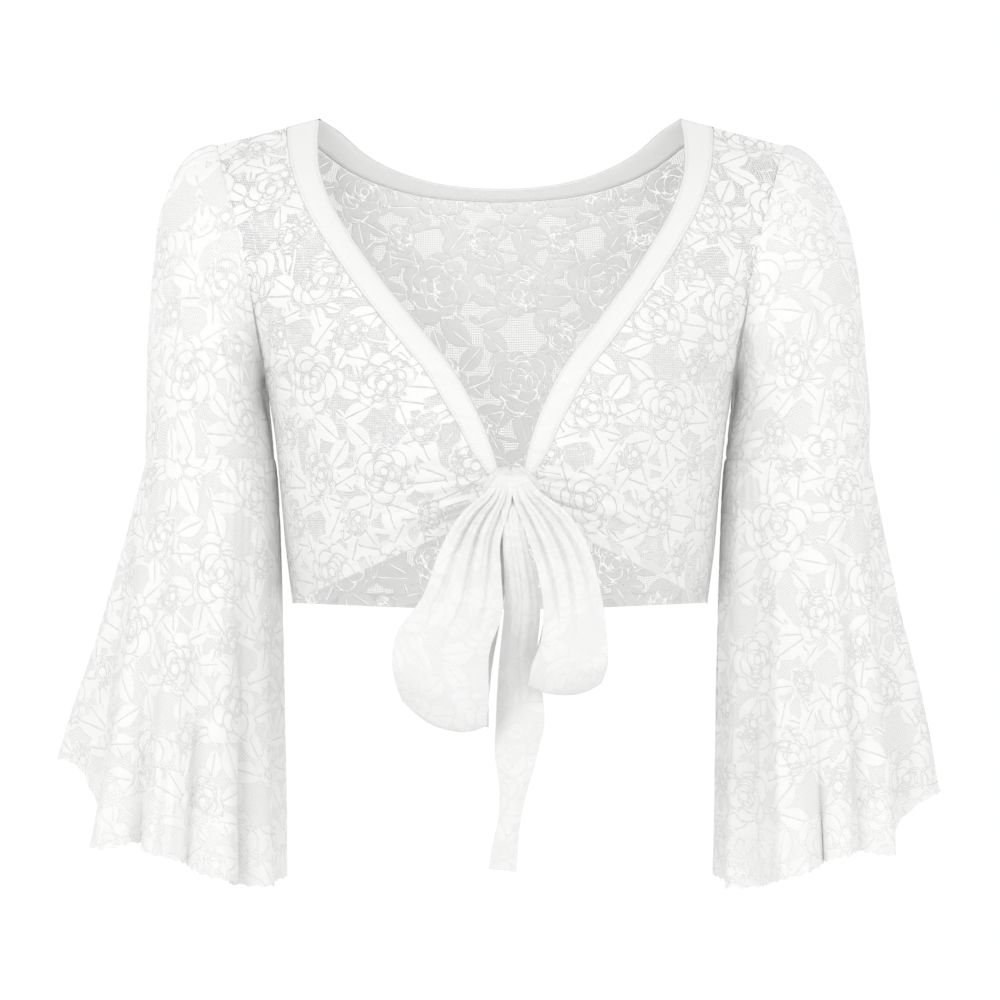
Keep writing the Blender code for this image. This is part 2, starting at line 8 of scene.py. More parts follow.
import bmesh
import bpy
import numpy as np
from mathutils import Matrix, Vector


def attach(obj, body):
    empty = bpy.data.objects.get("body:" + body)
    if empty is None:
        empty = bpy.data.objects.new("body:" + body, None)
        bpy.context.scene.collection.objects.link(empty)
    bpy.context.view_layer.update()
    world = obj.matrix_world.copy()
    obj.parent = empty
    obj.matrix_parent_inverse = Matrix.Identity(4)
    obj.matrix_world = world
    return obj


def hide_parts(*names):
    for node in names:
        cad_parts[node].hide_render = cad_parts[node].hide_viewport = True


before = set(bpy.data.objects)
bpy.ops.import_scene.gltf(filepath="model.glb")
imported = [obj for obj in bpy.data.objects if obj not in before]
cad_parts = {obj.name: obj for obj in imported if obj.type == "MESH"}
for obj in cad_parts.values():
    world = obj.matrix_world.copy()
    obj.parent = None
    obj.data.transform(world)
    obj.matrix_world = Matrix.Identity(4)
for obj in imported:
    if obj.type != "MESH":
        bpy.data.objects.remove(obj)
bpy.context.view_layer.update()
MM = 0.001

# Camera, light and floor, in metres. The photograph was taken from straight in front with a long
# lens, so the camera is level at the middle of the jacket's height. A bright dome and three soft
# boxes light it.

MIDDLE_HEIGHT = -0.2457
CAMERA_AWAY = 2.6
LAMPS_LOOK_AT = (0.0, 0.0, -0.25)
FLOOR_HEIGHT = -0.95
FLOOR_RADIUS = 2.4

camera = bpy.data.objects.new("camera", bpy.data.cameras.new("camera"))
camera.data.lens = 144.0
camera.data.sensor_width = 36.0
camera.location = (0.0, -CAMERA_AWAY, MIDDLE_HEIGHT)
camera.rotation_euler = (np.pi / 2, 0.0, 0.0)
bpy.context.scene.collection.objects.link(camera)
bpy.context.scene.camera = camera
bpy.context.scene.view_settings.view_transform = "Standard"


def soft_box(name, place, size, power):
    """A square lamp, turned to look at the jacket."""
    lamp = bpy.data.lights.new(name, "AREA")
    lamp.size = size
    lamp.energy = power
    box = bpy.data.objects.new(name, lamp)
    box.location = place
    aim = Vector(LAMPS_LOOK_AT) - Vector(place)
    box.rotation_euler = aim.to_track_quat("-Z", "Y").to_euler()
    bpy.context.scene.collection.objects.link(box)


soft_box("key_light", (-1.3, -2.0, 1.1), 0.9, 12.3)
soft_box("fill_light", (1.6, -2.0, 0.2), 1.4, 6.2)
soft_box("back_light", (0.6, 2.2, 1.4), 1.2, 9.0)

# The dome is brighter level with the jacket than above and below it
dome = bpy.data.worlds.new("dome")
dome.use_nodes = True
nodes, links = dome.node_tree.nodes, dome.node_tree.links
where = nodes.new("ShaderNodeTexCoord")
height = nodes.new("ShaderNodeSeparateXYZ")
band = nodes.new("ShaderNodeMapRange")
band.interpolation_type = "SMOOTHSTEP"
band.inputs["From Min"].default_value = 0.30
band.inputs["From Max"].default_value = 0.75
band.inputs["To Min"].default_value = 1.02
band.inputs["To Max"].default_value = 0.69
size = nodes.new("ShaderNodeMath")
size.operation = "ABSOLUTE"
links.new(where.outputs["Generated"], height.inputs[0])
links.new(height.outputs["Z"], size.inputs[0])
links.new(size.outputs[0], band.inputs["Value"])
links.new(band.outputs[0], nodes["Background"].inputs["Strength"])
nodes["Background"].inputs["Color"].default_value = (1.0, 1.0, 1.0, 1.0)
bpy.context.scene.world = dome

turn = np.linspace(0, 2 * np.pi, 96, endpoint=False)
floor_mesh = bpy.data.meshes.new("floor")
floor_rim = np.stack(
    [FLOOR_RADIUS * np.cos(turn), FLOOR_RADIUS * np.sin(turn), np.full_like(turn, FLOOR_HEIGHT)],
    axis=1,
)
floor_mesh.from_pydata(floor_rim.tolist(), [], [list(range(len(turn)))])
floor = bpy.data.objects.new("floor", floor_mesh)
bpy.context.scene.collection.objects.link(floor)
floor_paint = bpy.data.materials.new("floor")
floor_paint.use_nodes = True
floor_shader = floor_paint.node_tree.nodes["Principled BSDF"]
floor_shader.inputs["Base Color"].default_value = (0.92, 0.92, 0.92, 1)
floor_shader.inputs["Roughness"].default_value = 0.9
floor_mesh.materials.append(floor_paint)

# Back panel. White stretch lace in one piece: roses, leaves and stems worked solid on a fine net.
# Cut with a curved neck, sewn at the shoulders and sides, with a narrow turned hem.


def columns(names, rows):
    """A table as a dictionary of named columns."""
    return dict(zip(names.split(), np.array(rows, float).T))


def points_of(table):
    """A table's x, y and z columns as rows of points."""
    return np.stack([table["x"], table["y"], table["z"]], axis=1)


def through(points, at, knots=None):
    """A smooth curve through the points, at the shares 0 to 1.

    On each stretch p = h00 p0 + h10 m0 + h01 p1 + h11 m1, a cubic whose end slopes m come from the
    neighbouring points. The knots are chord lengths unless they are given.
    """
    points = np.asarray(points, float)
    if knots is None:
        steps = np.linalg.norm(np.diff(points, axis=0), axis=1)
        knots = np.concatenate([[0.0], np.cumsum(steps)]) / steps.sum()
    slopes = np.gradient(points, knots, axis=0)
    at = np.clip(np.asarray(at, float), 0, 1)
    i = np.clip(np.searchsorted(knots, at, side="right") - 1, 0, len(knots) - 2)
    span = (knots[i + 1] - knots[i])[:, None]
    s = (at - knots[i])[:, None] / span
    return (
        (2 * s**3 - 3 * s**2 + 1) * points[i]
        + (s**3 - 2 * s**2 + s) * span * slopes[i]
        + (3 * s**2 - 2 * s**3) * points[i + 1]
        + (s**3 - s**2) * span * slopes[i + 1]
    )


def values_at(table, at, names):
    """The named columns on a smooth curve, with the table's first column as its knots."""
    return through(np.stack([table[n] for n in names], axis=1), at, table[next(iter(table))])


def bezier(start, start_handle, end_handle, end, share):
    """Rows of cubic curves: p = (1-s)^3 a + 3(1-s)^2 s b + 3(1-s) s^2 c + s^3 d."""
    s = np.asarray(share, float)[..., None]
    first, last = start[:, None], end[:, None]
    second, third = first + start_handle[:, None], last + end_handle[:, None]
    return (
        (1 - s) ** 3 * first
        + 3 * (1 - s) ** 2 * s * second
        + 3 * (1 - s) * s**2 * third
        + s**3 * last
    )


def lobe(distance, width):
    """A soft ridge, (1 + cos(pi d / w)) / 2: 1 in its middle and 0 from the width away."""
    return 0.5 * (1 + np.cos(np.pi * np.clip(distance / width, -1, 1)))


def rise(t):
    """A smooth step, 3 t^2 - 2 t^3, from 0 to 1."""
    t = np.clip(t, 0, 1)
    return t * t * (3 - 2 * t)


def unit(vectors):
    """Each vector divided by its length."""
    return vectors / np.maximum(np.linalg.norm(vectors, axis=-1, keepdims=True), 1e-9)


def facing(grid):
    """Unit normals: the cross product of the steps down the rows and along the columns."""
    return unit(np.cross(np.gradient(grid, axis=0), np.gradient(grid, axis=1)))


def central(grid):
    """What a grid holds at its middle."""
    return grid[grid.shape[0] // 2, grid.shape[1] // 2]


def mirrored(points, side):
    """The points with x times the side: 1 for the left, -1 for the right."""
    return points * np.array([side, 1.0, 1.0])


def ripples(a, b, seed, waves=7, longest=90.0):
    """Uneven low swells, about -1 to 1: a sum of sines of a and b in seeded directions."""
    pick = np.random.default_rng(seed)
    out = 0 * (a + b)
    for n in range(waves):
        way, phase = pick.uniform(0, 2 * np.pi, 2)
        length = longest / (1 + 0.45 * n)
        out = out + np.sin(2 * np.pi * (a * np.cos(way) + b * np.sin(way)) / length + phase) / (1 + n)
    return out / 2


def running(grid, axis, parts):
    """Length in the named coordinates along an axis of the grid, from its first point."""
    step = np.linalg.norm(np.diff(grid[..., parts], axis=axis), axis=-1)
    lead = np.zeros_like(np.take(step, [0], axis=axis))
    return np.concatenate([lead, np.cumsum(step, axis=axis)], axis=axis)


# The share of a misfit taken out in one round, and each grid's step with its number of rounds
EASE = 1.6 / 14
ROUNDS = ((12, 300), (6, 160), (3, 80))


def relaxed(grid, flat, rounds):
    """Pull the flat points until each edge and diagonal is as long as it is on the form. Each round
    takes out a share EASE of every misfit."""
    steps = [(0, 1), (1, 0), (1, 1), (1, -1)]
    for _ in range(rounds):
        move = np.zeros_like(flat)
        for down_by, right_by in steps:
            a = np.s_[: flat.shape[0] - down_by, max(0, -right_by) : flat.shape[1] - max(0, right_by)]
            b = np.s_[down_by:, max(0, right_by) : flat.shape[1] + min(0, right_by)]
            long = np.linalg.norm(grid[b] - grid[a], axis=-1)
            gap = flat[b] - flat[a]
            now = np.maximum(np.linalg.norm(gap, axis=-1), 1e-6)
            pull = EASE * gap * ((now - long) / now)[..., None]
            move[a] += pull
            move[b] -= pull
        flat = flat + move
    return flat


def flattened(grid, start):
    """The flat cut of a form: relaxed from a rough start on every 12th point, then on finer grids.
    Between those points the change is linear along the rows and the columns."""
    flat = start
    for step, rounds in ROUNDS:
        rows = np.unique(np.append(np.arange(0, grid.shape[0], step), grid.shape[0] - 1))
        cols = np.unique(np.append(np.arange(0, grid.shape[1], step), grid.shape[1] - 1))
        coarse = flat[np.ix_(rows, cols)]
        change = relaxed(grid[np.ix_(rows, cols)], coarse, rounds) - coarse
        all_rows, all_cols = np.arange(grid.shape[0]), np.arange(grid.shape[1])
        down = np.stack([np.interp(all_rows, rows, one) for one in np.eye(len(rows))], axis=1)
        over = np.stack([np.interp(all_cols, cols, one) for one in np.eye(len(cols))], axis=1)
        flat = flat + np.einsum("Rr,rcx,Cc->RCx", down, change, over)
    return flat


# The lace's repeat: four roses and three buds, each with leaves round it, and two wavy stems
TILE = (112.0, 126.0)
ROSES = columns(
    "x y size turn leaves",
    [
        (28, 32, 23, 10, 6),
        (84, 96, 24, 55, 6),
        (86, 31, 17, 100, 5),
        (27, 97, 18, 200, 5),
        (57, 63, 11, 40, 4),
        (2, 64, 10, 300, 4),
        (56, 3, 11, 150, 4),
    ],
)
# A rose's petals, outermost ring first: how many, and where and how big they are for a radius of 1
PETALS = columns(
    "count out size turn",
    [
        (7, 0.66, 0.36, 0),
        (6, 0.47, 0.34, 20),
        (5, 0.29, 0.29, 55),
        (3, 0.14, 0.22, 10),
        (2, 0.05, 0.12, 70),
    ],
)
SMALLEST_PETAL = 2.5
# Single small leaves that fill the spaces: how many, and their shortest and longest
SPRIGS = 26
SPRIG_LENGTHS = (9, 15)
LEAF_BREADTH = 0.29
NOTCH_DEPTH = 0.5
# A stem swings to each side of its place in the tile
STEM_HALF = 1.1
LEVEL_STEM = {"place": 62, "swing": 9}
UPRIGHT_STEM = {"place": 57, "swing": 8}
# The fields' values far from any motif or line
NO_MOTIF = -12.0
NO_LINE = 9.0


def wrapped(value, period):
    """The offset to the nearest repeat, -period/2 to period/2."""
    return (value + period / 2) % period - period / 2


def leaf(u, v, x, y, length, turn):
    """A pointed leaf: inside is w (1 - (a/l)^2) - |b|, with a along the leaf and b across it, less
    the notches of its rim."""
    du, dv = wrapped(u - x, TILE[0]), wrapped(v - y, TILE[1])
    along = du * np.cos(turn) + dv * np.sin(turn)
    across = -du * np.sin(turn) + dv * np.cos(turn)
    half = length / 2
    notch = NOTCH_DEPTH * np.abs(np.sin(2.6 * along))
    inside = LEAF_BREADTH * length * (1 - (along / half) ** 2) - np.abs(across) - notch
    return np.maximum(inside, NO_MOTIF), across


def rose(x, y, size_of, turned):
    """Petals laid over each other from the outside in. Each is a disc d = s - |p - c|. The first
    field is the largest d. The second is the d of the nearest rim that shows, so it passes
    through 0 there."""
    inside = np.full_like(x, NO_MOTIF)
    line = np.full_like(x, NO_LINE)
    for ring, (count, out, broad, turn_by) in enumerate(zip(*PETALS.values())):
        if broad * size_of < SMALLEST_PETAL:
            continue
        for n in range(int(count)):
            uneven = 1 + 0.12 * np.sin(2.7 * n + 1.9 * ring + turned)
            place = (n + 0.16 * np.sin(4 * n + turned)) / count
            way = np.radians(turned + turn_by) + 2 * np.pi * place
            cx, cy = out * size_of * uneven * np.cos(way), out * size_of * uneven * np.sin(way)
            disc = broad * size_of * uneven - np.hypot(x - cx, y - cy)
            line = np.where((disc > 0) | (-disc < np.abs(line)), disc, line)
            inside = np.maximum(inside, disc)
    return inside, line


def lace(u, v):
    """Two fields in millimetres over the flat cloth: how far a point lies inside a motif, and the
    signed distance from the nearest line between petals or along a leaf."""
    rose_in = np.full(u.size, NO_MOTIF)
    line = np.full(u.size, NO_LINE)
    flat_u, flat_v = u.ravel(), v.ravel()
    for x, y, size_of, turned, _ in zip(*ROSES.values()):
        du, dv = wrapped(flat_u - x, TILE[0]), wrapped(flat_v - y, TILE[1])
        near = np.flatnonzero(np.hypot(du, dv) < 1.15 * size_of + 3)
        inside, petal = rose(du[near], dv[near], size_of, turned)
        top = inside > rose_in[near]
        line[near] = np.where(top, petal, line[near])
        rose_in[near] = np.maximum(rose_in[near], inside)
    rose_in, line = rose_in.reshape(u.shape), line.reshape(u.shape)
    line = np.where(rose_in > 0, line, NO_LINE)
    green_in = np.full_like(u, NO_MOTIF)
    vein = np.full_like(u, NO_LINE)
    placed = []
    for x, y, size_of, turned, count in zip(*ROSES.values()):
        for n in range(int(count)):
            way = np.radians(turned + 360 * (n + 0.3 * np.sin(5.0 * n + x)) / count)
            long = 13 + 0.50 * size_of + 3 * np.sin(3.0 * n + y)
            reach = 0.95 * size_of + 0.36 * long
            lean = way + 0.55 * np.sin(2.1 * n + turned)
            placed.append((x + reach * np.cos(way), y + reach * np.sin(way), long, lean))
    pick = np.random.default_rng(4)
    for _ in range(SPRIGS):
        x, y = pick.uniform(0, 1, 2) * TILE
        placed.append((x, y, pick.uniform(*SPRIG_LENGTHS), pick.uniform(0, 2 * np.pi)))
    for x, y, long, lean in placed:
        inside, across = leaf(u, v, x, y, long, lean)
        vein = np.where(inside > green_in, across, vein)
        green_in = np.maximum(green_in, inside)
    vein = np.where(green_in > 0, vein, NO_LINE)
    level_line = LEVEL_STEM["place"] + LEVEL_STEM["swing"] * np.sin(2 * np.pi * u / TILE[0])
    upright_line = UPRIGHT_STEM["place"] + UPRIGHT_STEM["swing"] * np.sin(2 * np.pi * v / TILE[1])
    for offset in (wrapped(v - level_line, TILE[1]), wrapped(u - upright_line, TILE[0])):
        green_in = np.maximum(green_in, STEM_HALF - np.abs(offset))
    green_in = np.minimum(green_in, -rose_in - 0.9)
    motif = np.maximum(rose_in, green_in)
    return motif, np.where(rose_in > 0, line, vein)


def sheet_of(name, grid, cloth, hem, paint, shift=(0.0, 0.0), relief=0.35, grow=0.0):
    """A sheet of quads over the grid. `cloth` holds each point's place on the flat cloth and `hem`
    its distance from the turned hem, in millimetres. Motifs stand `relief` proud of the net, and
    are `grow` wider all round where the needlework is denser."""
    u, v = cloth[..., 0] + shift[0], cloth[..., 1] + shift[1]
    motif, line = lace(u, v)
    motif = motif + grow
    proud = rise((motif + 0.8) / 1.6) * rise((np.abs(line) + 0.1) / 1.2)
    grid = grid + facing(grid) * (relief * (proud - 0.5))[..., None]
    rows, count = grid.shape[:2]
    index = np.arange(rows * count).reshape(rows, count)
    quads = np.stack([index[:-1, :-1], index[1:, :-1], index[1:, 1:], index[:-1, 1:]], axis=-1)
    quads = quads.reshape(-1, 4)
    mesh = bpy.data.meshes.new(name)
    mesh.from_pydata((grid.reshape(-1, 3) * MM).tolist(), [], quads.tolist())
    layer = mesh.uv_layers.new(name="cloth")
    flat = np.stack([u, v], axis=-1).reshape(-1, 2) / 100
    layer.data.foreach_set("uv", flat[quads.ravel()].ravel())
    for word, field in (("motif", motif), ("line", line), ("far", np.abs(line)), ("hem", hem + 0 * u)):
        kept = mesh.attributes.new(word, "FLOAT", "POINT")
        kept.data.foreach_set("value", field.ravel().astype(np.float32))
    joined = bmesh.new()
    joined.from_mesh(mesh)
    bmesh.ops.remove_doubles(joined, verts=joined.verts, dist=1e-6)
    joined.to_mesh(mesh)
    joined.free()
    mesh.shade_smooth()
    mesh.materials.append(paint)
    made = bpy.data.objects.new(name, mesh)
    bpy.context.scene.collection.objects.link(made)
    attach(made, "root")
    return made


def chain(material):
    """A short call that adds nodes to a material's tree, and the tree itself."""
    tree = material.node_tree

    def add(kind, *sources, **facts):
        """A node with these facts, its first sockets joined to the sources or set to numbers."""
        node = tree.nodes.new(kind)
        for key, value in facts.items():
            setattr(node, key, value)
        for slot_number, source in enumerate(sources):
            if isinstance(source, (int, float)):
                node.inputs[slot_number].default_value = source
            else:
                tree.links.new(source, node.inputs[slot_number])
        return node

    return add, tree


def stepped(add, value, low, high):
    """A smooth step of a value from 0 at `low` to 1 at `high`."""
    node = add("ShaderNodeMapRange", value, interpolation_type="SMOOTHSTEP")
    node.inputs["From Min"].default_value = low
    node.inputs["From Max"].default_value = high
    return node.outputs[0]


def lace_paint(name, net_half, backing, net_tone, tone, depth, slit=1.0):
    """White lace. Cloth is solid inside motifs, but for slits between petals, and a net of
    threads `net_half` of a cell wide to each side elsewhere. `backing` is the least it covers,
    and a slit is covered by `slit`. `net_tone` and `tone` are the whites of net and motifs, and
    `depth` is the needlework's."""
    material = bpy.data.materials.new(name)
    material.use_nodes = True
    add, tree = chain(material)
    shader = tree.nodes["Principled BSDF"]
    motif = add("ShaderNodeAttribute", attribute_name="motif").outputs["Fac"]
    line = add("ShaderNodeAttribute", attribute_name="line").outputs["Fac"]
    hem = add("ShaderNodeAttribute", attribute_name="hem").outputs["Fac"]
    cloth = add("ShaderNodeUVMap", uv_map="cloth").outputs[0]
    away = add("ShaderNodeMath", line, operation="ABSOLUTE").outputs[0]
    patchy = add("ShaderNodeTexNoise", cloth, noise_dimensions="2D")
    patchy.inputs["Scale"].default_value = 11.0
    joined = stepped(add, patchy.outputs[0], 0.40, 0.62)
    joined = add("ShaderNodeMath", joined, 0.30, operation="MULTIPLY").outputs[0]
    away = add("ShaderNodeMath", away, joined, operation="ADD").outputs[0]
    inside = stepped(add, motif, -0.15, 0.35)
    closed = stepped(add, away, 0.20, 0.65)
    far = add("ShaderNodeAttribute", attribute_name="far").outputs["Fac"]
    closed = add("ShaderNodeMath", closed, stepped(add, far, 1.1, 1.7), operation="MAXIMUM").outputs[0]
    worked = add("ShaderNodeMath", inside, closed, operation="MULTIPLY").outputs[0]
    filled = add("ShaderNodeMath", closed, slit, operation="MAXIMUM").outputs[0]
    filled = add("ShaderNodeMath", filled, inside, operation="MULTIPLY").outputs[0]
    outside = add("ShaderNodeMath", 1.0, inside, operation="SUBTRACT").outputs[0]
    cells = add("ShaderNodeTexVoronoi", cloth, feature="DISTANCE_TO_EDGE", voronoi_dimensions="2D")
    cells.inputs["Scale"].default_value = 62.0
    cells.inputs["Randomness"].default_value = 0.35
    threads = stepped(add, cells.outputs["Distance"], net_half + 0.07, net_half)
    turned = stepped(add, hem, 9.0, 8.4)
    ground = add("ShaderNodeMath", threads, turned, operation="MAXIMUM").outputs[0]
    ground = add("ShaderNodeMath", ground, backing, operation="MAXIMUM").outputs[0]
    cover = add("ShaderNodeMath", ground, outside, operation="MULTIPLY").outputs[0]
    cover = add("ShaderNodeMath", cover, filled, operation="ADD").outputs[0]
    if backing < 1:
        tree.links.new(cover, shader.inputs["Alpha"])
    grain = add("ShaderNodeTexNoise", cloth, noise_dimensions="2D")
    grain.inputs["Scale"].default_value = 190.0
    grain.inputs["Detail"].default_value = 3.0
    cloud = add("ShaderNodeTexNoise", cloth, noise_dimensions="2D")
    cloud.inputs["Scale"].default_value = 5.0
    shade = add("ShaderNodeMath", grain.outputs[0], 0.10, operation="MULTIPLY").outputs[0]
    shade = add("ShaderNodeMath", shade, cloud.outputs[0], operation="ADD").outputs[0]
    mix = add("ShaderNodeMix", data_type="RGBA")
    tree.links.new(worked, mix.inputs[0])
    mix.inputs[6].default_value = (net_tone, net_tone, 0.995 * net_tone, 1)
    ramp = add("ShaderNodeValToRGB", shade)
    ramp.color_ramp.elements[0].position = 0.30
    ramp.color_ramp.elements[0].color = (tone, tone, 0.99 * tone, 1)
    ramp.color_ramp.elements[1].position = 0.75
    ramp.color_ramp.elements[1].color = (tone + 0.03, tone + 0.03, 0.995 * tone + 0.03, 1)
    tree.links.new(ramp.outputs[0], mix.inputs[7])
    tree.links.new(mix.outputs[2], shader.inputs["Base Color"])
    stitched = add("ShaderNodeTexWave", cloth, wave_type="BANDS", bands_direction="DIAGONAL")
    stitched.inputs["Scale"].default_value = 46.0
    stitched.inputs["Distortion"].default_value = 2.5
    fill = add("ShaderNodeMath", stitched.outputs[0], 0.16, operation="MULTIPLY").outputs[0]
    fill = add("ShaderNodeMath", fill, worked, operation="MULTIPLY").outputs[0]
    deep = add("ShaderNodeMath", worked, fill, operation="ADD").outputs[0]
    knots = add("ShaderNodeMath", threads, 0.35, operation="MULTIPLY").outputs[0]
    deep = add("ShaderNodeMath", deep, knots, operation="MAXIMUM").outputs[0]
    seam = add("ShaderNodeMath", turned, 0.5, operation="MULTIPLY").outputs[0]
    deep = add("ShaderNodeMath", deep, seam, operation="ADD").outputs[0]
    bump = add("ShaderNodeBump")
    bump.inputs["Strength"].default_value = depth
    bump.inputs["Distance"].default_value = 0.0007
    tree.links.new(deep, bump.inputs["Height"])
    tree.links.new(bump.outputs[0], shader.inputs["Normal"])
    shader.inputs["Roughness"].default_value = 0.78
    shader.inputs["Specular IOR Level"].default_value = 0.25
    shader.inputs["Sheen Weight"].default_value = 0.15
    shader.inputs["Sheen Roughness"].default_value = 0.5
    return material


LACE = lace_paint("lace_cloth", 0.13, 0.05, 0.86, 0.88, 0.75, slit=0.7)
# The back is the same lace, seen from inside. It is painted a little whiter than the fronts: painted
# light that lifts the shade falling on it inside the jacket
LACE_BACK_PAINTED_LIGHTER = lace_paint("lace_back_painted_light", 0.13, 0.05, 0.91, 0.92, 0.75, slit=0.25)

SHOULDER_TIP = (186.0, 0.0, -16.0)
UNDERARM = (151.0, 0.0, -167.0)
NECK_POINT = (117.0, 0.0, 2.0)
SHOULDER_SEAM_IN = (139.0, 0.0, -3.8)
UNDERARM_V = 0.5
ARMHOLE_BACK = columns(
    "x y z",
    [
        SHOULDER_TIP,
        (181, 24, -36),
        (172, 42, -68),
        (164, 50, -103),
        (157, 44, -136),
        (152, 23, -159),
        UNDERARM,
    ],
)
SIDE_SEAM = columns(
    "x y z",
    [UNDERARM, (146, 0, -200), (142, 0, -238), (139, 0, -275), (134.5, 0, -313)],
)
NECK_SEAM = columns(
    "x y z",
    [(0, 49, -49), (17, 49, -48.5), (57, 43, -44.5), (98, 29, -31), (124, 14, -13), SHOULDER_SEAM_IN],
)
CENTRE_BACK = columns(
    "v x y z",
    [
        (0.00, 0, 49, -49),
        (0.25, 0, 70, -102),
        (0.50, 0, 83, -170),
        (0.75, 0, 87, -243),
        (1.00, 0, 84, -319),
    ],
)
BACK_REACH = columns(
    "v in_x in_y in_z out_x out_y out_z",
    [
        (0.00, 70, 4, 8, -40, 10, 6),
        (0.20, 76, 6, 3, -32, 22, 4),
        (0.38, 82, 6, 1, -10, 44, 2),
        (0.50, 84, 5, 0, 4, 58, 0),
        (0.75, 80, 3, 0, 4, 58, 0),
        (1.00, 76, 2, 0, 2, 54, 0),
    ],
)
NECK_SHARE = 0.72
TOP_FADES_BY = 0.62
# Soft drag folds across the back, which fade out in its middle. A fold drops by its slant with the
# distance from the middle, and by its lean from one side to the other.
BACK_DRAGS = columns(
    "down slant lean depth width",
    [(120, 0.10, 0, 1.6, 16), (168, 0, -0.16, -1.3, 20), (215, 0, 0.08, 1.2, 18)],
)


def outer_edge(armhole, v):
    """The armhole down to the underarm, then the side seam."""
    upper = v <= UNDERARM_V
    return np.concatenate(
        [
            through(points_of(armhole), v[upper] / UNDERARM_V),
            through(points_of(SIDE_SEAM), (v[~upper] - UNDERARM_V) / (1 - UNDERARM_V)),
        ]
    )


def back_half(v, u):
    """Rows of cubics from the centre line to the outer edge, drawn up to the neck and shoulder."""
    start = values_at(CENTRE_BACK, v, ("x", "y", "z"))
    inwards = values_at(BACK_REACH, v, ("in_x", "in_y", "in_z"))
    outwards = values_at(BACK_REACH, v, ("out_x", "out_y", "out_z"))
    end = outer_edge(ARMHOLE_BACK, v)
    grid = bezier(start, inwards, outwards, end, np.broadcast_to(u, (len(v), len(u))))
    neck = through(points_of(NECK_SEAM), u[u <= NECK_SHARE] / NECK_SHARE)
    along = ((u[u > NECK_SHARE] - NECK_SHARE) / (1 - NECK_SHARE))[:, None]
    corner = points_of(NECK_SEAM)[-1]
    top = np.concatenate([neck, corner + along * (np.array(SHOULDER_TIP) - corner)])
    return grid + (1 - rise(v / TOP_FADES_BY))[:, None, None] * (top - grid[0])


back_v = np.linspace(0, 1, 210)
back_u = np.linspace(0, 1, 141)
half = back_half(back_v, back_u)
back = np.concatenate([mirrored(half[:, :0:-1], -1), half], axis=1)
across = running(back, 1, [0, 1])
across = across - across[:, [len(back_u) - 1]]
down = running(back, 0, [1, 2])
# Swells fade to nothing at the seams and the hem
edges = np.minimum(1, np.minimum(back_v, 1 - back_v)[:, None] * 8) * rise((140 - np.abs(across)) / 60)
swell = 1.3 * ripples(across, down, 11, longest=120) * edges
drag = 0 * down
for at, slant, lean, depth, width in zip(*BACK_DRAGS.values()):
    drag += depth * lobe(down - at - slant * np.abs(across) - lean * across, width)
drag = drag * rise((np.abs(across) - 25) / 90) * edges
back = back + facing(back) * (swell + drag)[..., None]
back_cloth = flattened(back, np.stack([across, down], axis=-1))
back_hem = np.broadcast_to(down[[-1]] - down, down.shape)
back_grow = 1.0 * rise((down - 150) / 60)
# The back's lace paint is whiter than the fronts': painted light against the shade inside the jacket
back_piece = sheet_of(
    "back_lace", back, back_cloth, back_hem, LACE_BACK_PAINTED_LIGHTER, shift=(14.0, 8.0), grow=back_grow
)
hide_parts("back_panel")

# Fronts. Two lace pieces cut low in a V. Their lower corners are gathered hard into the knot, so
# folds fan out from it over the cups and run level to the side seams.

KNOT_X = 7.0
KNOT_V = 0.78
ARMHOLE_FRONT = columns(
    "x y z",
    [
        SHOULDER_TIP,
        (179, -24, -38),
        (169, -42, -70),
        (161, -49, -103),
        (155, -42, -135),
        (152, -22, -158),
        UNDERARM,
    ],
)
FRONT_EDGE = columns(
    "v x y z",
    [
        (0.00, *NECK_POINT),
        (0.07, 118, -20, -16),
        (0.14, 116, -41, -37),
        (0.21, 107, -60, -61),
        (0.30, 84, -84, -98),
        (0.40, 60, -101, -130),
        (0.50, 36, -114, -161),
        (0.60, 20.5, -123, -189),
        (0.70, 11.5, -128.5, -213),
        (0.78, 8.0, -130, -228),
        (0.88, 8.5, -130, -240),
        (1.00, 12.0, -129, -254),
    ],
)
FRONT_REACH = columns(
    "v in_x in_y in_z out_x out_y out_z",
    [
        (0.00, 23, 0, -6.0, -23, 0, 6.0),
        (0.20, 20, -4, -1, -18, -12, 4),
        (0.35, 28, -9, -2, -12, -34, 3),
        (0.50, 42, -15, -5, 7, -60, 0),
        (0.65, 48, -14, -4, 6, -70, 0),
        (0.80, 46, -6, -12, 3, -68, 2),
        (1.00, 40, 5, -18, 1, -60, 3),
    ],
)
BAND_SHARE = columns(
    "v share",
    [
        (0.0, 0.3188),
        (0.1, 0.30),
        (0.2, 0.27),
        (0.3, 0.215),
        (0.4, 0.165),
        (0.5, 0.125),
        (0.6, 0.108),
        (0.7, 0.085),
        (0.78, 0.045),
        (0.88, 0.03),
        (1.0, 0.03),
    ],
)
GATHERS = columns(
    "v depth reach",
    [
        (0.583, 2.2, 0.55),
        (0.667, 2.8, 0.70),
        (0.750, 2.6, 0.62),
        (0.833, 3.2, 0.80),
        (0.917, 2.8, 0.90),
        (0.985, 2.0, 0.75),
    ],
)
GATHER_WIDTH = 0.056
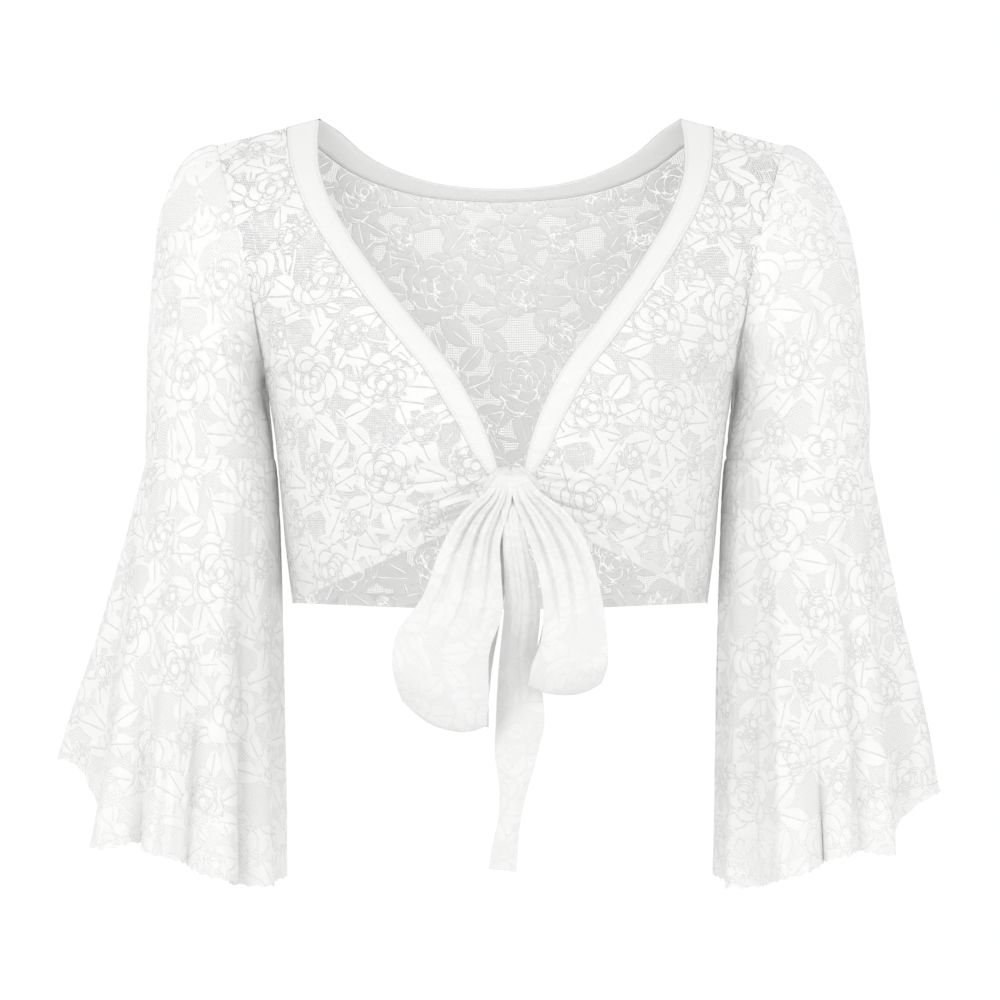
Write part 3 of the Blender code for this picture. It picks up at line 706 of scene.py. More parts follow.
# Finer folds between the gathers: where each starts, how it drifts, its depth, width and reach
FINE_FOLDS = {
    -1: columns(
        "v drift depth width reach",
        [
            (0.53, -0.20, 1.2, 0.020, 0.42),
            (0.62, -0.16, 1.8, 0.019, 0.50),
            (0.705, -0.12, 2.0, 0.021, 0.46),
            (0.79, -0.03, 2.2, 0.020, 0.62),
            (0.86, 0.00, 1.8, 0.018, 0.86),
            (0.90, 0.02, -1.8, 0.022, 0.95),
            (0.955, 0.00, 2.2, 0.020, 0.84),
        ],
    ),
    1: columns(
        "v drift depth width reach",
        [
            (0.55, -0.22, 1.3, 0.022, 0.36),
            (0.635, -0.18, 1.9, 0.018, 0.55),
            (0.72, -0.10, 1.7, 0.020, 0.40),
            (0.80, -0.05, 2.4, 0.021, 0.70),
            (0.845, 0.01, -1.6, 0.018, 0.80),
            (0.885, 0.02, 2.0, 0.019, 0.92),
            (0.94, 0.01, 2.0, 0.021, 0.88),
        ],
    ),
}


def front_form(side, v, u, folds=True):
    """Rows of cubics from the neckline or knot to the outer edge, pushed in along the folds.

    A fold is a lobe in v about v0 + drift u. It grows from the knot and fades by its reach.
    """
    start = values_at(FRONT_EDGE, v, ("x", "y", "z"))
    start[:, 0] += side * KNOT_X * np.clip(v / KNOT_V, 0, 1)
    inwards = values_at(FRONT_REACH, v, ("in_x", "in_y", "in_z"))
    outwards = values_at(FRONT_REACH, v, ("out_x", "out_y", "out_z"))
    grid = bezier(start, inwards, outwards, outer_edge(ARMHOLE_FRONT, v), u)
    if not folds:
        return mirrored(grid, side)
    high = v[:, None]
    push = 0 * u
    for at, depth, reach in zip(*GATHERS.values()):
        push -= depth * lobe(high - at, GATHER_WIDTH) * rise(u / 0.12) * (1 - rise(u / reach))
    for at, drift, depth, width, reach in zip(*FINE_FOLDS[side].values()):
        spread = width * (1 + 0.8 * u)
        push -= depth * lobe(high - at - drift * u, spread) * rise(u / 0.06) * (1 - rise(u / reach))
    return mirrored(grid + facing(grid) * push[..., None], side)


front_v = np.linspace(0, 1, 270)
share_of_band = np.interp(front_v, BAND_SHARE["v"], BAND_SHARE["share"])[:, None]
front_u = share_of_band + (1 - share_of_band) * np.linspace(0, 1, 150)
for side, word, seed, shift in ((-1, "right", 21, (40.0, 31.0)), (1, "left", 22, (95.0, 74.0))):
    plain_form = front_form(side, front_v, front_u, folds=False)
    inwards_run = running(plain_form[:, ::-1], 1, [0, 1])[:, ::-1]
    outer_x = np.abs(plain_form[:, [-1], 0])
    flat_x = outer_x + plain_form[:, [-1], 1] * rise((front_v[:, None] - 0.1) / 0.3) - inwards_run
    flat_y = running(plain_form, 0, [1, 2]) + 4.0
    front = front_form(side, front_v, front_u)
    rim = rise((1 - front_u) * 7) * rise((front_u - share_of_band) * 9) * rise(front_v[:, None] * 9)
    swell = side * ripples(flat_x, flat_y, seed, longest=110) * rim
    front = front + facing(front) * swell[..., None]
    front_hem = flat_y[[-1]] - flat_y + 2.5
    front_cloth = flattened(plain_form, np.stack([side * flat_x, flat_y], axis=-1))
    if side < 0:
        front, front_hem, front_cloth = front[:, ::-1], front_hem[:, ::-1], front_cloth[:, ::-1]
    # The needlework is denser towards the hem, and a little at the shoulder
    grow = 1.1 * rise((front_v[:, None] - 0.45) / 0.3) + 0.6 * (1 - rise(front_v[:, None] / 0.25))
    piece = sheet_of(f"front_{word}_lace", front, front_cloth, front_hem, LACE, shift=shift, grow=grow)
    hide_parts(f"front_{word}")

# Neckbands. Plain knitted strips folded double and sewn flat along the two front edges and the back
# neck, the back one narrower. They meet at the shoulder seams, and the front two run to the knot.


def band_paint(name):
    """Plain white knit with fine ribs across, and two rows of stitches 2 mm inside its edges."""
    material = bpy.data.materials.new(name)
    material.use_nodes = True
    add, tree = chain(material)
    shader = tree.nodes["Principled BSDF"]
    cloth = add("ShaderNodeUVMap", uv_map="cloth").outputs[0]
    hem = add("ShaderNodeAttribute", attribute_name="hem").outputs["Fac"]
    ribs = add("ShaderNodeTexWave", cloth, wave_type="BANDS", bands_direction="Y")
    ribs.inputs["Scale"].default_value = 26.0
    ribs.inputs["Distortion"].default_value = 1.2
    ribs.inputs["Detail"].default_value = 2.0
    grain = add("ShaderNodeTexNoise", cloth, noise_dimensions="2D")
    grain.inputs["Scale"].default_value = 160.0
    row = add("ShaderNodeMath", hem, 2.0, operation="SUBTRACT").outputs[0]
    row = add("ShaderNodeMath", row, operation="ABSOLUTE").outputs[0]
    row = stepped(add, row, 0.55, 0.2)
    dashes = add("ShaderNodeTexWave", cloth, wave_type="BANDS", bands_direction="Y")
    dashes.inputs["Scale"].default_value = 10.5
    dash = stepped(add, dashes.outputs[0], 0.25, 0.5)
    stitch = add("ShaderNodeMath", row, dash, operation="MULTIPLY").outputs[0]
    deep = add("ShaderNodeMath", ribs.outputs[0], 0.22, operation="MULTIPLY").outputs[0]
    deep = add("ShaderNodeMath", deep, stitch, operation="SUBTRACT").outputs[0]
    rough = add("ShaderNodeMath", grain.outputs[0], 0.35, operation="MULTIPLY").outputs[0]
    deep = add("ShaderNodeMath", deep, rough, operation="ADD").outputs[0]
    bump = add("ShaderNodeBump")
    bump.inputs["Strength"].default_value = 0.6
    bump.inputs["Distance"].default_value = 0.0005
    tree.links.new(deep, bump.inputs["Height"])
    tree.links.new(bump.outputs[0], shader.inputs["Normal"])
    ramp = add("ShaderNodeValToRGB", grain.outputs[0])
    ramp.color_ramp.elements[0].position = 0.3
    ramp.color_ramp.elements[0].color = (0.85, 0.848, 0.84, 1)
    ramp.color_ramp.elements[1].position = 0.7
    ramp.color_ramp.elements[1].color = (0.88, 0.878, 0.873, 1)
    tree.links.new(ramp.outputs[0], shader.inputs["Base Color"])
    shader.inputs["Roughness"].default_value = 0.82
    shader.inputs["Specular IOR Level"].default_value = 0.25
    shader.inputs["Sheen Weight"].default_value = 0.12
    return material


BAND = band_paint("band_knit")
BAND_THICK = 1.7
BAND_PROUD = 0.35


def folded(grid, outward, thick):
    """A strip folded double: its outer and inner faces joined round both edges and at its ends.

    The faces stand thick/2 to each side, drawn together as sqrt(1 - w^6) towards the edges, with w
    from -1 to 1 across the strip, and to nothing at the two ends."""
    rows, count = grid.shape[:2]
    w = np.linspace(-1, 1, count)
    lens = np.sqrt(np.clip(1 - w**6, 0, 1))[None, :, None] * thick / 2
    end = np.ones(rows)
    end[[0, -1]] = 0.0
    lens = lens * end[:, None, None]
    return np.concatenate([grid + outward * lens, (grid - outward * lens)[:, ::-1]], axis=1)


def band_piece(name, grid, outward, node):
    """A neckband: the strip folded double, with its hem field for the rows of stitches."""
    ring = folded(grid, outward, BAND_THICK)
    ring = np.concatenate([ring, ring[:, :1]], axis=1)
    flat_v = running(grid, 0, [0, 1, 2]).mean(axis=1, keepdims=True)
    flat_u = running(grid, 1, [0, 1, 2])
    side_gap = np.minimum(flat_u, flat_u[:, [-1]] - flat_u)
    flat_u = np.concatenate([flat_u, flat_u[:, ::-1], flat_u[:, :1]], axis=1)
    side_gap = np.concatenate([side_gap, side_gap[:, ::-1], side_gap[:, :1]], axis=1)
    cloth = np.stack([flat_u, flat_v + 0 * flat_u], axis=-1)
    piece = sheet_of(name, ring, cloth, side_gap, BAND, relief=0.0)
    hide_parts(node)


band_v = np.linspace(0, KNOT_V + 0.005, 150)
band_end = np.interp(band_v, BAND_SHARE["v"], BAND_SHARE["share"])[:, None]
for side, word in ((-1, "right"), (1, "left")):
    strip = front_form(side, band_v, band_end * np.linspace(0.0, 0.985, 18))
    out = facing(strip) * side
    strip = strip + out * BAND_PROUD
    if side < 0:
        strip, out = strip[:, ::-1], out[:, ::-1]
    band_piece(f"neckband_{word}_knit", strip, out, f"neckband_{word}")

NECK_EDGE = columns(
    "x y z",
    [(0, 45, -40), (16, 45, -39.5), (53, 38, -34), (88, 24, -19), (105, 12, -5), NECK_POINT],
)
steps = np.linspace(0, 1, 70)
edge_half, seam_half = through(points_of(NECK_EDGE), steps), through(points_of(NECK_SEAM), steps)
edge_line = np.concatenate([mirrored(edge_half[:0:-1], -1), edge_half])
seam_line = np.concatenate([mirrored(seam_half[:0:-1], -1), seam_half])
w = np.linspace(0.0, 0.98, 10)[None, :, None]
strip = edge_line[:, None] * (1 - w) + seam_line[:, None] * w
out = facing(strip)
if central(out)[1] < 0:
    out = -out
    strip, out = strip[:, ::-1], out[:, ::-1]
band_piece("neckband_back_knit", strip, out, "neckband_back")

# Upper sleeves. Straight lace tubes set into the armholes, which end in a level seam above the
# elbow. The cloth is a little loose, so it breaks into shallow slanting folds under the arm.

SLEEVE_START = columns(
    "angle x y z",
    [
        (0, 42, 0, -6),
        (60, 26, -6, -30),
        (110, 16, -4, -36),
        (150, 8, -2, -22),
        (180, 3, 0, -12),
        (210, 8, 2, -22),
        (250, 16, 4, -36),
        (300, 26, 6, -30),
        (360, 42, 0, -6),
    ],
)
SLEEVE_DROP = columns("angle z", [(0, 104), (90, 44), (180, 14), (270, 44), (360, 104)])
ELBOW_Z = -219.0
ELBOWS = {
    "right": {"x": 188.5, "half_x": 41.5, "half_y": 47.0},
    "left": {"x": 193.5, "half_x": 46.5, "half_y": 47.0},
}
SLEEVE_ROWS = 150
# The sleeve's edge lies over the body's, reaches back over it and dips towards it
LAP = 1.5
TURNED_BACK = 1.6
TURNED_DOWN = 1.0
# Slanting folds: where each is round the sleeve and down it, as a share of the length
SLEEVE_FOLDS = columns(
    "angle share slant depth width",
    [
        (70, 0.62, 0.30, 2.0, 0.060),
        (95, 0.80, 0.22, 1.8, 0.050),
        (50, 0.88, -0.20, 1.3, 0.045),
        (120, 0.45, 0.35, 1.6, 0.055),
        (250, 0.55, -0.30, 1.8, 0.060),
        (285, 0.78, -0.22, 1.7, 0.055),
        (310, 0.40, 0.15, 1.2, 0.060),
        (20, 0.55, 0.10, 1.0, 0.070),
    ],
)


def elbow_ring(word, angle, z):
    """x = c + a cos t, y = -b sin t, with angle 0 outermost and 90 in front."""
    size_of, t = ELBOWS[word], np.radians(angle)
    x = size_of["x"] + size_of["half_x"] * np.cos(t)
    return np.stack([x, -size_of["half_y"] * np.sin(t), np.full_like(t, z)], axis=-1)


def elbow_normals(word, angle):
    """Outward normals of the ring, (cos t / a, -sin t / b) made unit length."""
    size_of, t = ELBOWS[word], np.radians(angle)
    normals = np.stack([np.cos(t) / size_of["half_x"], -np.sin(t) / size_of["half_y"], 0 * t], axis=-1)
    return unit(normals)


def armhole_normals(v):
    """Outward normals of the front and of the back where they end at the armhole."""
    u = np.array([0.90, 0.95, 1.0])
    rows = np.broadcast_to(u, (len(v), 3))
    fore = facing(front_form(1, v, rows, folds=False))[:, -1]
    rear = facing(back_half(v, u))[:, -1]
    # Those of the back are turned round wherever they face well forwards
    rear = rear * np.sign(rear[:, [1]] + 0.2)
    return fore, rear


LACE_DENSE = lace_paint("lace_sleeve", 0.14, 0.86, 0.87, 0.88, 0.5, slit=0.86)
sleeve_rows = np.linspace(0, 1, SLEEVE_ROWS) ** 1.15
half_turn = np.linspace(0, 1, 111)
fore_line = through(points_of(ARMHOLE_FRONT), half_turn)
rear_line = through(points_of(ARMHOLE_BACK), half_turn)
edge = np.concatenate([rear_line[::-1], fore_line[1:]])
angle = np.concatenate([-180 * half_turn[::-1], 180 * half_turn[1:]])
fore_out, rear_out = armhole_normals(half_turn * UNDERARM_V)
edge_out = np.concatenate([rear_out[::-1], fore_out[1:]])
# The normals turn sharply where front and back meet, so each is averaged with its 8 neighbours
smooth = np.ones(9) / 9
wide = np.concatenate([edge_out[-9:-1], edge_out, edge_out[1:9]])
edge_out = unit(np.stack([np.convolve(wide[:, k], smooth, "same")[8:-8] for k in range(3)], axis=1))
for side, word, seed, shift in ((-1, "right", 31, (60.0, 12.0)), (1, "left", 32, (20.0, 88.0))):
    end = elbow_ring(word, angle, ELBOW_Z)
    set_out = through(points_of(SLEEVE_START), angle % 360 / 360, SLEEVE_START["angle"] / 360)
    drop = np.interp(angle % 360, SLEEVE_DROP["angle"], SLEEVE_DROP["z"])
    come_in = np.stack([0 * drop, 0 * drop, drop], axis=1)
    all_rows = np.broadcast_to(sleeve_rows, (len(angle), SLEEVE_ROWS))
    tube = bezier(edge + edge_out * LAP, set_out, come_in, end, all_rows)
    tube = tube.transpose(1, 0, 2).copy()
    over = (1 - rise((np.abs(angle) - 90) / 40))[:, None]
    tube[0] -= over * (TURNED_BACK * unit(tube[3] - tube[0]) + TURNED_DOWN * edge_out)
    around = running(tube, 1, [0, 1, 2]).mean(axis=0)
    length = running(tube, 0, [0, 1, 2])
    push = 0 * length
    for at, share, slant, depth, width in zip(*SLEEVE_FOLDS.values()):
        off = np.radians(wrapped(angle - at - 9 * side, 360))
        ridge = lobe(sleeve_rows[:, None] - share - slant * off, width) * lobe(off, 0.75)
        push = push - depth * ridge
    fade = rise(sleeve_rows * 6)[:, None] * rise((1 - sleeve_rows) * 9)[:, None]
    push = (push + 0.9 * ripples(around + 0 * length, length, seed, longest=100)) * fade
    normal = facing(tube)
    if central(normal)[0] < 0:
        normal = -normal
    # Folds are shallower on the inner side, next to the body
    inner_side = 0.35 + 0.65 * rise((180 - np.abs(angle)) / 50)
    tube = mirrored(tube + normal * (push * inner_side)[..., None], side)
    cloth = flattened(tube, np.stack([-side * around + 0 * length, length], axis=-1))
    if central(facing(tube))[0] * side < 0:
        tube, cloth = tube[:, ::-1], cloth[:, ::-1]
    piece = sheet_of(f"sleeve_{word}_lace", tube, cloth, 60.0, LACE_DENSE, shift=shift, grow=0.3)
    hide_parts(f"sleeve_{word}")

# Bells. Lace flounces cut as part of a ring, sewn to the sleeves at the inner curve. Their hems fall
# in deep uneven flutes, longer in front and inside, and end in the lace's own small scallops.

BELL_HEM = {
    "right": columns(
        "angle x y z",
        [
            (0, 278, -2, -413),
            (14, 275, -20, -420),
            (30, 257, -46, -460),
            (60, 233, -68, -464),
            (90, 206, -78, -474),
            (120, 174, -74, -487),
            (150, 149, -46, -493),
            (180, 138, -2, -490),
            (215, 146, 40, -478),
            (255, 182, 66, -462),
            (300, 236, 60, -444),
            (335, 269, 34, -424),
            (360, 278, -2, -413),
        ],
    ),
    "left": columns(
        "angle x y z",
        [
            (0, 281, -2, -434),
            (14, 276, -20, -439),
            (30, 253, -46, -467),
            (60, 230, -68, -469),
            (90, 207, -78, -475),
            (120, 176, -74, -488),
            (150, 150, -46, -494),
            (180, 139, -2, -490),
            (215, 147, 40, -478),
            (255, 184, 66, -464),
            (300, 238, 60, -452),
            (335, 271, 34, -440),
            (360, 281, -2, -434),
        ],
    ),
}
FLUTES = {
    "right": columns(
        "angle width depth",
        [
            (2, 19, 15),
            (39, 22, 17),
            (80, 21, 15),
            (117, 17, 16),
            (148, 14, 12),
            (181, 24, 7),
            (219, 18, 13),
            (256, 20, 15),
            (296, 20, 14),
            (332, 16, 13),
        ],
    ),
    "left": columns(
        "angle width depth",
        [
            (4, 20, 15),
            (41, 19, 16),
            (76, 18, 13),
            (112, 20, 17),
            (149, 16, 13),
            (182, 22, 7),
            (217, 17, 12),
            (251, 19, 15),
            (291, 21, 14),
            (330, 17, 14),
        ],
    ),
}
FLUTE_BASE = -7.0
FLUTE_LEAN = 0.03
FLUTE_GROWTH = 1.25
FLARE_POWER = 0.75
FLARE_SWING = 0.3
# The flounce's flat cut: part of a ring, with its inner radius, its length and its turn in radians
RING_RADIUS = 180.0
RING_LENGTH = 265.0
RING_TURN = 1.556
SCALLOP_EVERY = 9.0
SCALLOP_DEPTH = 1.6
SCALLOP_FROM = 0.965
# Small gathers under the seam, then a slow wander and finer ripples that grow towards the hem
PUCKER_DEPTH = 7.7
PUCKERS = 46
PUCKER_FADE = 0.07
WANDER_DEPTH = 1.5
RIPPLE_DEPTH = 1.3
RIPPLES = 17
# Sharper creases between the flutes: where each begins, as a share of the length, and its depth
# and width at the hem
BELL_CREASES = columns(
    "angle start depth width",
    [
        (134, 0.35, 8.0, 8.0),
        (104, 0.20, 4.5, 5.5),
        (84, 0.50, 3.5, 4.0),
        (63, 0.25, 5.0, 6.0),
        (26, 0.35, 4.5, 6.0),
        (-22, 0.30, 4.5, 6.0),
        (-62, 0.25, 5.0, 6.0),
        (-98, 0.40, 4.0, 5.0),
        (-140, 0.30, 6.0, 7.0),
    ],
)


def fluted(table, at_angle):
    """The sum of the flutes' lobes on a base, in millimetres."""
    out = np.full_like(at_angle, FLUTE_BASE)
    for at, width, depth in zip(*table.values()):
        out += depth * lobe(wrapped(at_angle - at, 360), width)
    return out


def bell_form(word, at_angle, share):
    """p = top + (hem - top) s^k + s^1.25 (outward flute + sideways lean).

    For x and y the power k goes from 0.45 to 1.05 round the bell, and for z it is 1."""
    hem_table, flutes = BELL_HEM[word], FLUTES[word]
    hem_line = through(points_of(hem_table), at_angle % 360 / 360, hem_table["angle"] / 360)
    top = elbow_ring(word, at_angle, ELBOW_Z)
    out = elbow_normals(word, at_angle)
    along = np.stack([-out[:, 1], out[:, 0], 0 * out[:, 0]], axis=1)
    s = share[:, None, None]
    flare = s ** (FLARE_POWER + FLARE_SWING * out[:, :1])
    reach = np.concatenate([flare, flare, s + 0 * flare], axis=2)
    slope = np.degrees(fluted(flutes, at_angle + 0.5) - fluted(flutes, at_angle - 0.5))
    fold = out * fluted(flutes, at_angle)[:, None] + along * (FLUTE_LEAN * slope)[:, None]
    return top + (hem_line - top) * reach + s**FLUTE_GROWTH * fold


bell_rows = np.linspace(0, 1, 160)
bell_angle = np.linspace(-180, 180, 400)
t = np.radians(bell_angle)
for side, word, seed, shift in ((-1, "right", 41, (33.0, 50.0)), (1, "left", 42, (71.0, 19.0))):
    bell = bell_form(word, bell_angle, bell_rows)
    out = elbow_normals(word, bell_angle)
    s = bell_rows[:, None]
    pucker = PUCKER_DEPTH * np.sin(PUCKERS * t + 1.5 * np.sin(3 * t)) * s * np.exp(-s / PUCKER_FADE)
    wander = WANDER_DEPTH * s * ripples(90 * t + 0 * s, 260 * s + 0 * t, seed, longest=150)
    small = RIPPLE_DEPTH * s**2 * np.sin(RIPPLES * t + 2 * np.sin(2 * t + side) + 2.2 * s)
    for at, begins, depth, width in zip(*BELL_CREASES.values()):
        off = wrapped(bell_angle - at - 5 * side + 4 * np.sin(3 * s + at), 360)
        small = small - depth * lobe(off, width) * rise((s - begins) / (1 - begins))
    # Ripples and creases are shallower on the inner side, next to the body
    inner_side = 0.3 + 0.7 * rise((180 - np.abs(bell_angle)) / 40)
    bell = bell + out * ((pucker + wander + small) * inner_side)[..., None]
    run = RING_RADIUS + RING_LENGTH * s
    fan = RING_TURN * bell_angle / 360
    cloth = np.stack([run * np.sin(fan), run * np.cos(fan)], axis=-1)
    rim_run = (RING_RADIUS + RING_LENGTH) * (fan + RING_TURN)
    scallops = SCALLOP_DEPTH * np.abs(np.sin(np.pi * rim_run / SCALLOP_EVERY))
    bell[..., 2] += scallops * rise((s - SCALLOP_FROM) / (1 - SCALLOP_FROM))
    bell = mirrored(bell, side)
    cloth = flattened(bell, cloth * np.array([-side, 1.0]))
    if central(facing(bell))[0] * side < 0:
        bell, cloth = bell[:, ::-1], cloth[:, ::-1]
    piece = sheet_of(f"bell_{word}_lace", bell, cloth, 60.0, LACE_DENSE, shift=shift, grow=0.3)
    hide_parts(f"bell_{word}")

# Knot. The tie is the same lace used double. It wraps over the gathered corners of the fronts in a
# soft lump, with upright creases that run down into the loops.

TIE = lace_paint("tie_cloth", 0.16, 1.0, 0.83, 0.835, 0.3)
KNOT_BACK_Y = -131.0
KNOT_DEPTH = 17.0
KNOT_HALF_X = 17.0
KNOT_TOP_Z = -226.0
KNOT_BOTTOM_Z = -247.0
KNOT_ROUNDING = {"top": 0.80, "bottom": 0.45}
KNOT_FLARE = 2.0
KNOT_CREASES = columns(
    "angle drift depth width",
    [
        (28, 12, 1.6, 12),
        (52, -10, 2.2, 10),
        (78, 14, 1.5, 9),
        (101, -6, 2.6, 11),
        (126, 9, 1.8, 9),
        (150, -14, 1.9, 12),
    ],
)

knot_angle = np.linspace(-14, 194, 120)
knot_level = np.linspace(-1, 1, 70)[:, None]
drawn_in = np.where(knot_level > 0, KNOT_ROUNDING["top"], KNOT_ROUNDING["bottom"])
rounding = np.sqrt(1 - (drawn_in * knot_level) ** 2)
crease = 0 * (knot_angle + knot_level)
for at, drift, depth, width in zip(*KNOT_CREASES.values()):
    crease = crease + depth * lobe(knot_angle - at - drift * knot_level, width)
crease = crease * (0.65 + 0.35 * knot_level**2)
turn = np.radians(knot_angle)
knot = np.stack(
    [
        KNOT_X + (KNOT_HALF_X * rounding - KNOT_FLARE * knot_level - crease) * np.cos(turn),
        KNOT_BACK_Y - (KNOT_DEPTH * rounding - crease) * np.sin(turn),
        KNOT_BOTTOM_Z + (KNOT_TOP_Z - KNOT_BOTTOM_Z) * (1 + knot_level) / 2 + 0 * turn,
    ],
    axis=-1,
)[::-1]
shut_top = np.broadcast_to([KNOT_X, KNOT_BACK_Y - 4, KNOT_TOP_Z + 0.5], knot[:1].shape)
shut_low = np.broadcast_to([KNOT_X, KNOT_BACK_Y - 4, KNOT_BOTTOM_Z - 0.2], knot[:1].shape)
# The wrap closes over its top and under its bottom through two smaller rings and a point
lips = [0.35, 0.7]
top_rows = [knot[:1] * (1 - a) + shut_top * a + np.array([0, 0, 1.2 * a]) for a in lips[::-1]]
low_rows = [knot[-1:] * (1 - a) + shut_low * a for a in lips]
knot = np.concatenate([shut_top, *top_rows, knot, *low_rows, shut_low])
if central(facing(knot))[1] > 0:
    knot = knot[:, ::-1]
cloth = np.stack([running(knot, 1, [0, 1, 2]), running(knot, 0, [0, 1, 2])], axis=-1)
knot_piece = sheet_of("knot_lace", knot, cloth, 60.0, TIE, shift=(50.0, 60.0), relief=0.15)
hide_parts("knot")

# Bow. Each loop and each hanging end is one strip of the doubled lace, gathered small where it
# leaves the knot, so creases run down its length and fade out where it opens.

# Each row is a place along the strip: its middle, half its width, how far it bows out and sags
# between its edges, and how its width tilts and turns, in degrees
STRIP_TABLES = {
    "loop_right": columns(
        "s x y z half bow sag tilt turn",
        [
            (0.00, 3.5, -145.5, -230.5, 5.0, 1, 0, 8, 0),
            (0.03, -0.5, -149, -243, 8.0, 1.5, 0, 20, 0),
            (0.07, -9, -149.5, -257, 13, 1, 0, 33, 0),
            (0.16, -17, -155, -280, 19.5, 2, 0, 26, 0),
            (0.27, -23, -162, -310, 25, 4, 0, 14, 6),
            (0.37, -35, -166, -334, 29, 5, 3, 12, 8),
            (0.45, -36, -165, -360, 30, 4, 7, 15, 6),
            (0.50, -34, -157, -376, 27, 1, 11, 17, 4),
            (0.55, -34, -150, -362, 28, -2, 8, 16, 2),
            (0.63, -34, -147, -334, 27, -3, 3, 12, 0),
            (0.73, -23, -146, -310, 23, -2, 0, 14, 0),
            (0.84, -17, -143, -281, 18, -1, 0, 26, 0),
            (0.93, -8, -139.5, -258, 11, 0, 0, 33, 0),
            (1.00, 0.4, -137.2, -247.6, 6.0, 0, 0, 0, 0),
        ],
    ),
    "loop_left": columns(
        "s x y z half bow sag tilt turn",
        [
            (0.00, 11.0, -145.5, -231.0, 5.0, 1, 0, -8, 0),
            (0.03, 15.5, -149, -242, 8.0, 1.5, 0, -20, 0),
            (0.07, 25, -149.5, -255, 12.5, 1, 0, -30, 0),
            (0.16, 37, -155, -277, 16.5, 2, 0, -22, 0),
            (0.27, 44, -162, -305, 18, 4, 0, -10, -6),
            (0.37, 45, -166, -328, 20, 5, 2, -4, -8),
            (0.45, 42, -164, -347, 23, 4, 5, 0, -6),
            (0.50, 39, -157, -358, 22, 1, 7, -2, -4),
            (0.55, 40, -150, -348, 21, -2, 5, -2, -2),
            (0.63, 44, -147, -328, 19, -3, 2, -4, 0),
            (0.73, 43, -146, -305, 16, -2, 0, -10, 0),
            (0.84, 36, -143, -278, 14, -1, 0, -22, 0),
            (0.93, 23, -139.5, -256, 10, 0, 0, -30, 0),
            (1.00, 13.6, -137.2, -247.6, 6.0, 0, 0, 0, 0),
        ],
    ),
    "end_front": columns(
        "s x y z half bow sag tilt turn",
        [
            (0.00, 7.5, -145, -240, 5.0, 0, 0, 0, 0),
            (0.05, 7.5, -148.5, -252, 6.5, 1, 0, 0, 0),
            (0.12, 9, -148.5, -270, 7.5, 1, 0, 0, 0),
            (0.20, 12, -149, -291, 9.5, 1, 0, 0, 0),
            (0.30, 13.5, -149.5, -312, 11.0, 1, 0, 0, 3),
            (0.40, 11.5, -146, -338, 11.5, 1, 0, 2, 3),
            (0.50, 12, -141.5, -359, 13.5, 1, 0, 4, 2),
            (0.61, 12, -143, -383, 15, 4, 0, 4, 0),
            (0.71, 9.5, -145, -405, 12.5, 4, 0, 2, -6),
            (0.80, 8, -146, -422, 9, 3, 0, 0, -4),
            (0.88, 6, -146, -440, 7, 2, 0, 0, 0),
            (0.96, 3, -146, -459, 8, 1, 0, 2, 4),
            (1.00, 1.5, -146, -473, 8.5, 0, 0, 6, 6),
        ],
    ),
    "end_back": columns(
        "s x y z half bow sag tilt turn",
        [
            (0.00, 5, -132.2, -247.6, 4, 0, 0, 0, 0),
            (0.25, -3, -133, -284, 9, 0, 0, 4, 0),
            (0.50, -12, -134, -325, 11, 1, 0, 6, 0),
            (0.75, -18, -135, -357, 12, 2, 0, 6, 0),
            (1.00, -19, -136, -384, 12, 2, 0, 8, 0),
        ],
    ),
}
STRIP_SIZES = {
    "loop_right": {"rows": 230, "count": 60, "flat": (0.062, 0.27), "area": 0.0155, "held": "folded"},
    "loop_left": {"rows": 210, "count": 50, "flat": (0.052, 0.24), "area": 0.0112, "held": "folded"},
    "end_front": {"rows": 180, "count": 36, "flat": (0.032, 0.22), "area": 0.0052, "held": "hung"},
    "end_back": {"rows": 90, "count": 26, "flat": (0.026, 0.13), "area": 0.0027, "held": "hung"},
}
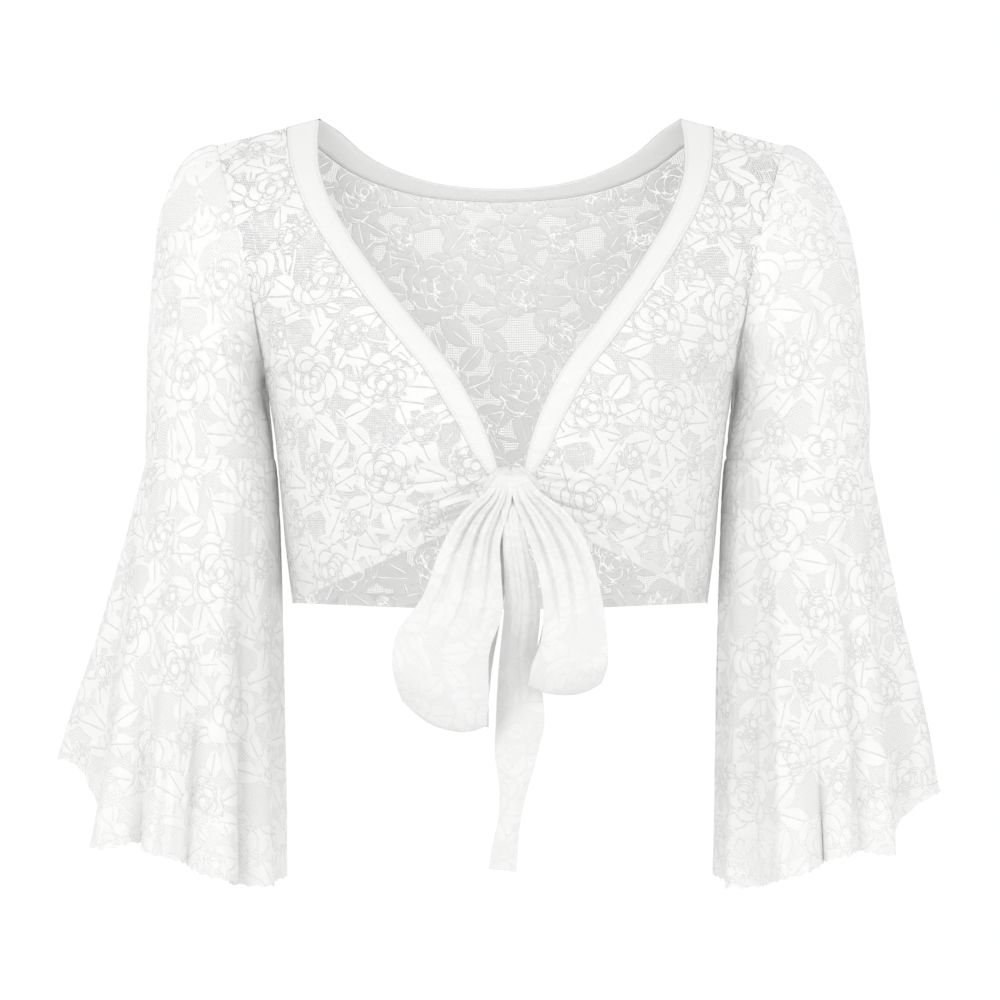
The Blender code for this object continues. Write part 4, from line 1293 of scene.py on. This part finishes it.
# Creases across a strip: place from -1 to 1, sideways drift, depth, width, how far down they last
LOOP_CREASES = columns(
    "place drift depth width lasts",
    [
        (-0.80, 0.10, 2.2, 0.13, 0.30),
        (-0.50, -0.16, 4.4, 0.13, 0.74),
        (-0.24, 0.12, 1.6, 0.09, 0.34),
        (0.04, -0.10, 4.2, 0.14, 0.80),
        (0.30, 0.14, 1.7, 0.10, 0.36),
        (0.55, 0.18, 4.0, 0.14, 0.62),
        (0.82, -0.12, 2.0, 0.12, 0.26),
    ],
)
END_CREASES = columns(
    "place drift depth width lasts",
    [
        (-0.46, 0.30, 1.8, 0.26, 0.42),
        (0.12, -0.25, 2.2, 0.24, 0.66),
        (0.62, 0.20, 1.6, 0.24, 0.34),
    ],
)


def strip_form(table, rows, count):
    """p = line + across h w, bowed out by b (1 - w^2) and sagging by g (1 - w^2)."""
    names = ("x", "y", "z", "half", "bow", "sag", "tilt", "turn")
    values = values_at(table, np.linspace(0, 1, rows), names)
    line, width, bow, sag = values[:, :3], values[:, 3], values[:, 4], values[:, 5]
    tilt, turned = np.radians(values[:, 6]), np.radians(values[:, 7])
    w = np.linspace(-1, 1, count)
    across = unit(np.stack([np.cos(tilt) * np.cos(turned), np.sin(turned), -np.sin(tilt)], axis=1))
    grid = line[:, None] + across[:, None] * (width[:, None] * w)[..., None]
    grid[..., 1] -= bow[:, None] * (1 - w**2)
    grid[..., 2] -= sag[:, None] * (1 - w**2)
    return grid, width[:, None]


for n, (name, table) in enumerate(STRIP_TABLES.items()):
    facts = STRIP_SIZES[name]
    strip, width = strip_form(table, facts["rows"], facts["count"])
    w = np.linspace(-1, 1, facts["count"])
    s = np.linspace(0, 1, facts["rows"])[:, None]
    # A loop goes out from the knot and back to it, and an end only out
    is_loop = name.startswith("loop")
    from_knot = np.minimum(s, 1 - s) * 2 if is_loop else s
    creases = LOOP_CREASES if is_loop else END_CREASES
    push = 0 * (w + s)
    for k, (place, drift, depth, broad, lasts) in enumerate(zip(*creases.values())):
        wander = place + drift * from_knot + 0.06 * np.sin(7 * s + 1.7 * k + 2.3 * n)
        fade = rise(from_knot / 0.08) * (1 - rise((from_knot - 0.15) / lasts))
        shallow_where_narrow = np.clip(width / 16, 0.25, 1)
        push = push + depth * lobe(w - wander, broad) * fade * shallow_where_narrow
    swell = 1.2 * ripples(width * w, 250 * s + 0 * w, 51 + n, longest=70) * rise(from_knot / 0.3)
    strip = strip + facing(strip) * (swell - push)[..., None]
    cloth = np.stack([width * w, running(strip, 0, [0, 1, 2])], axis=-1)
    piece = sheet_of(f"{name}_lace", strip, cloth, 60.0, TIE, shift=(22.0 * n, 17.0 * n), relief=0.2)
    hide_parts(name)
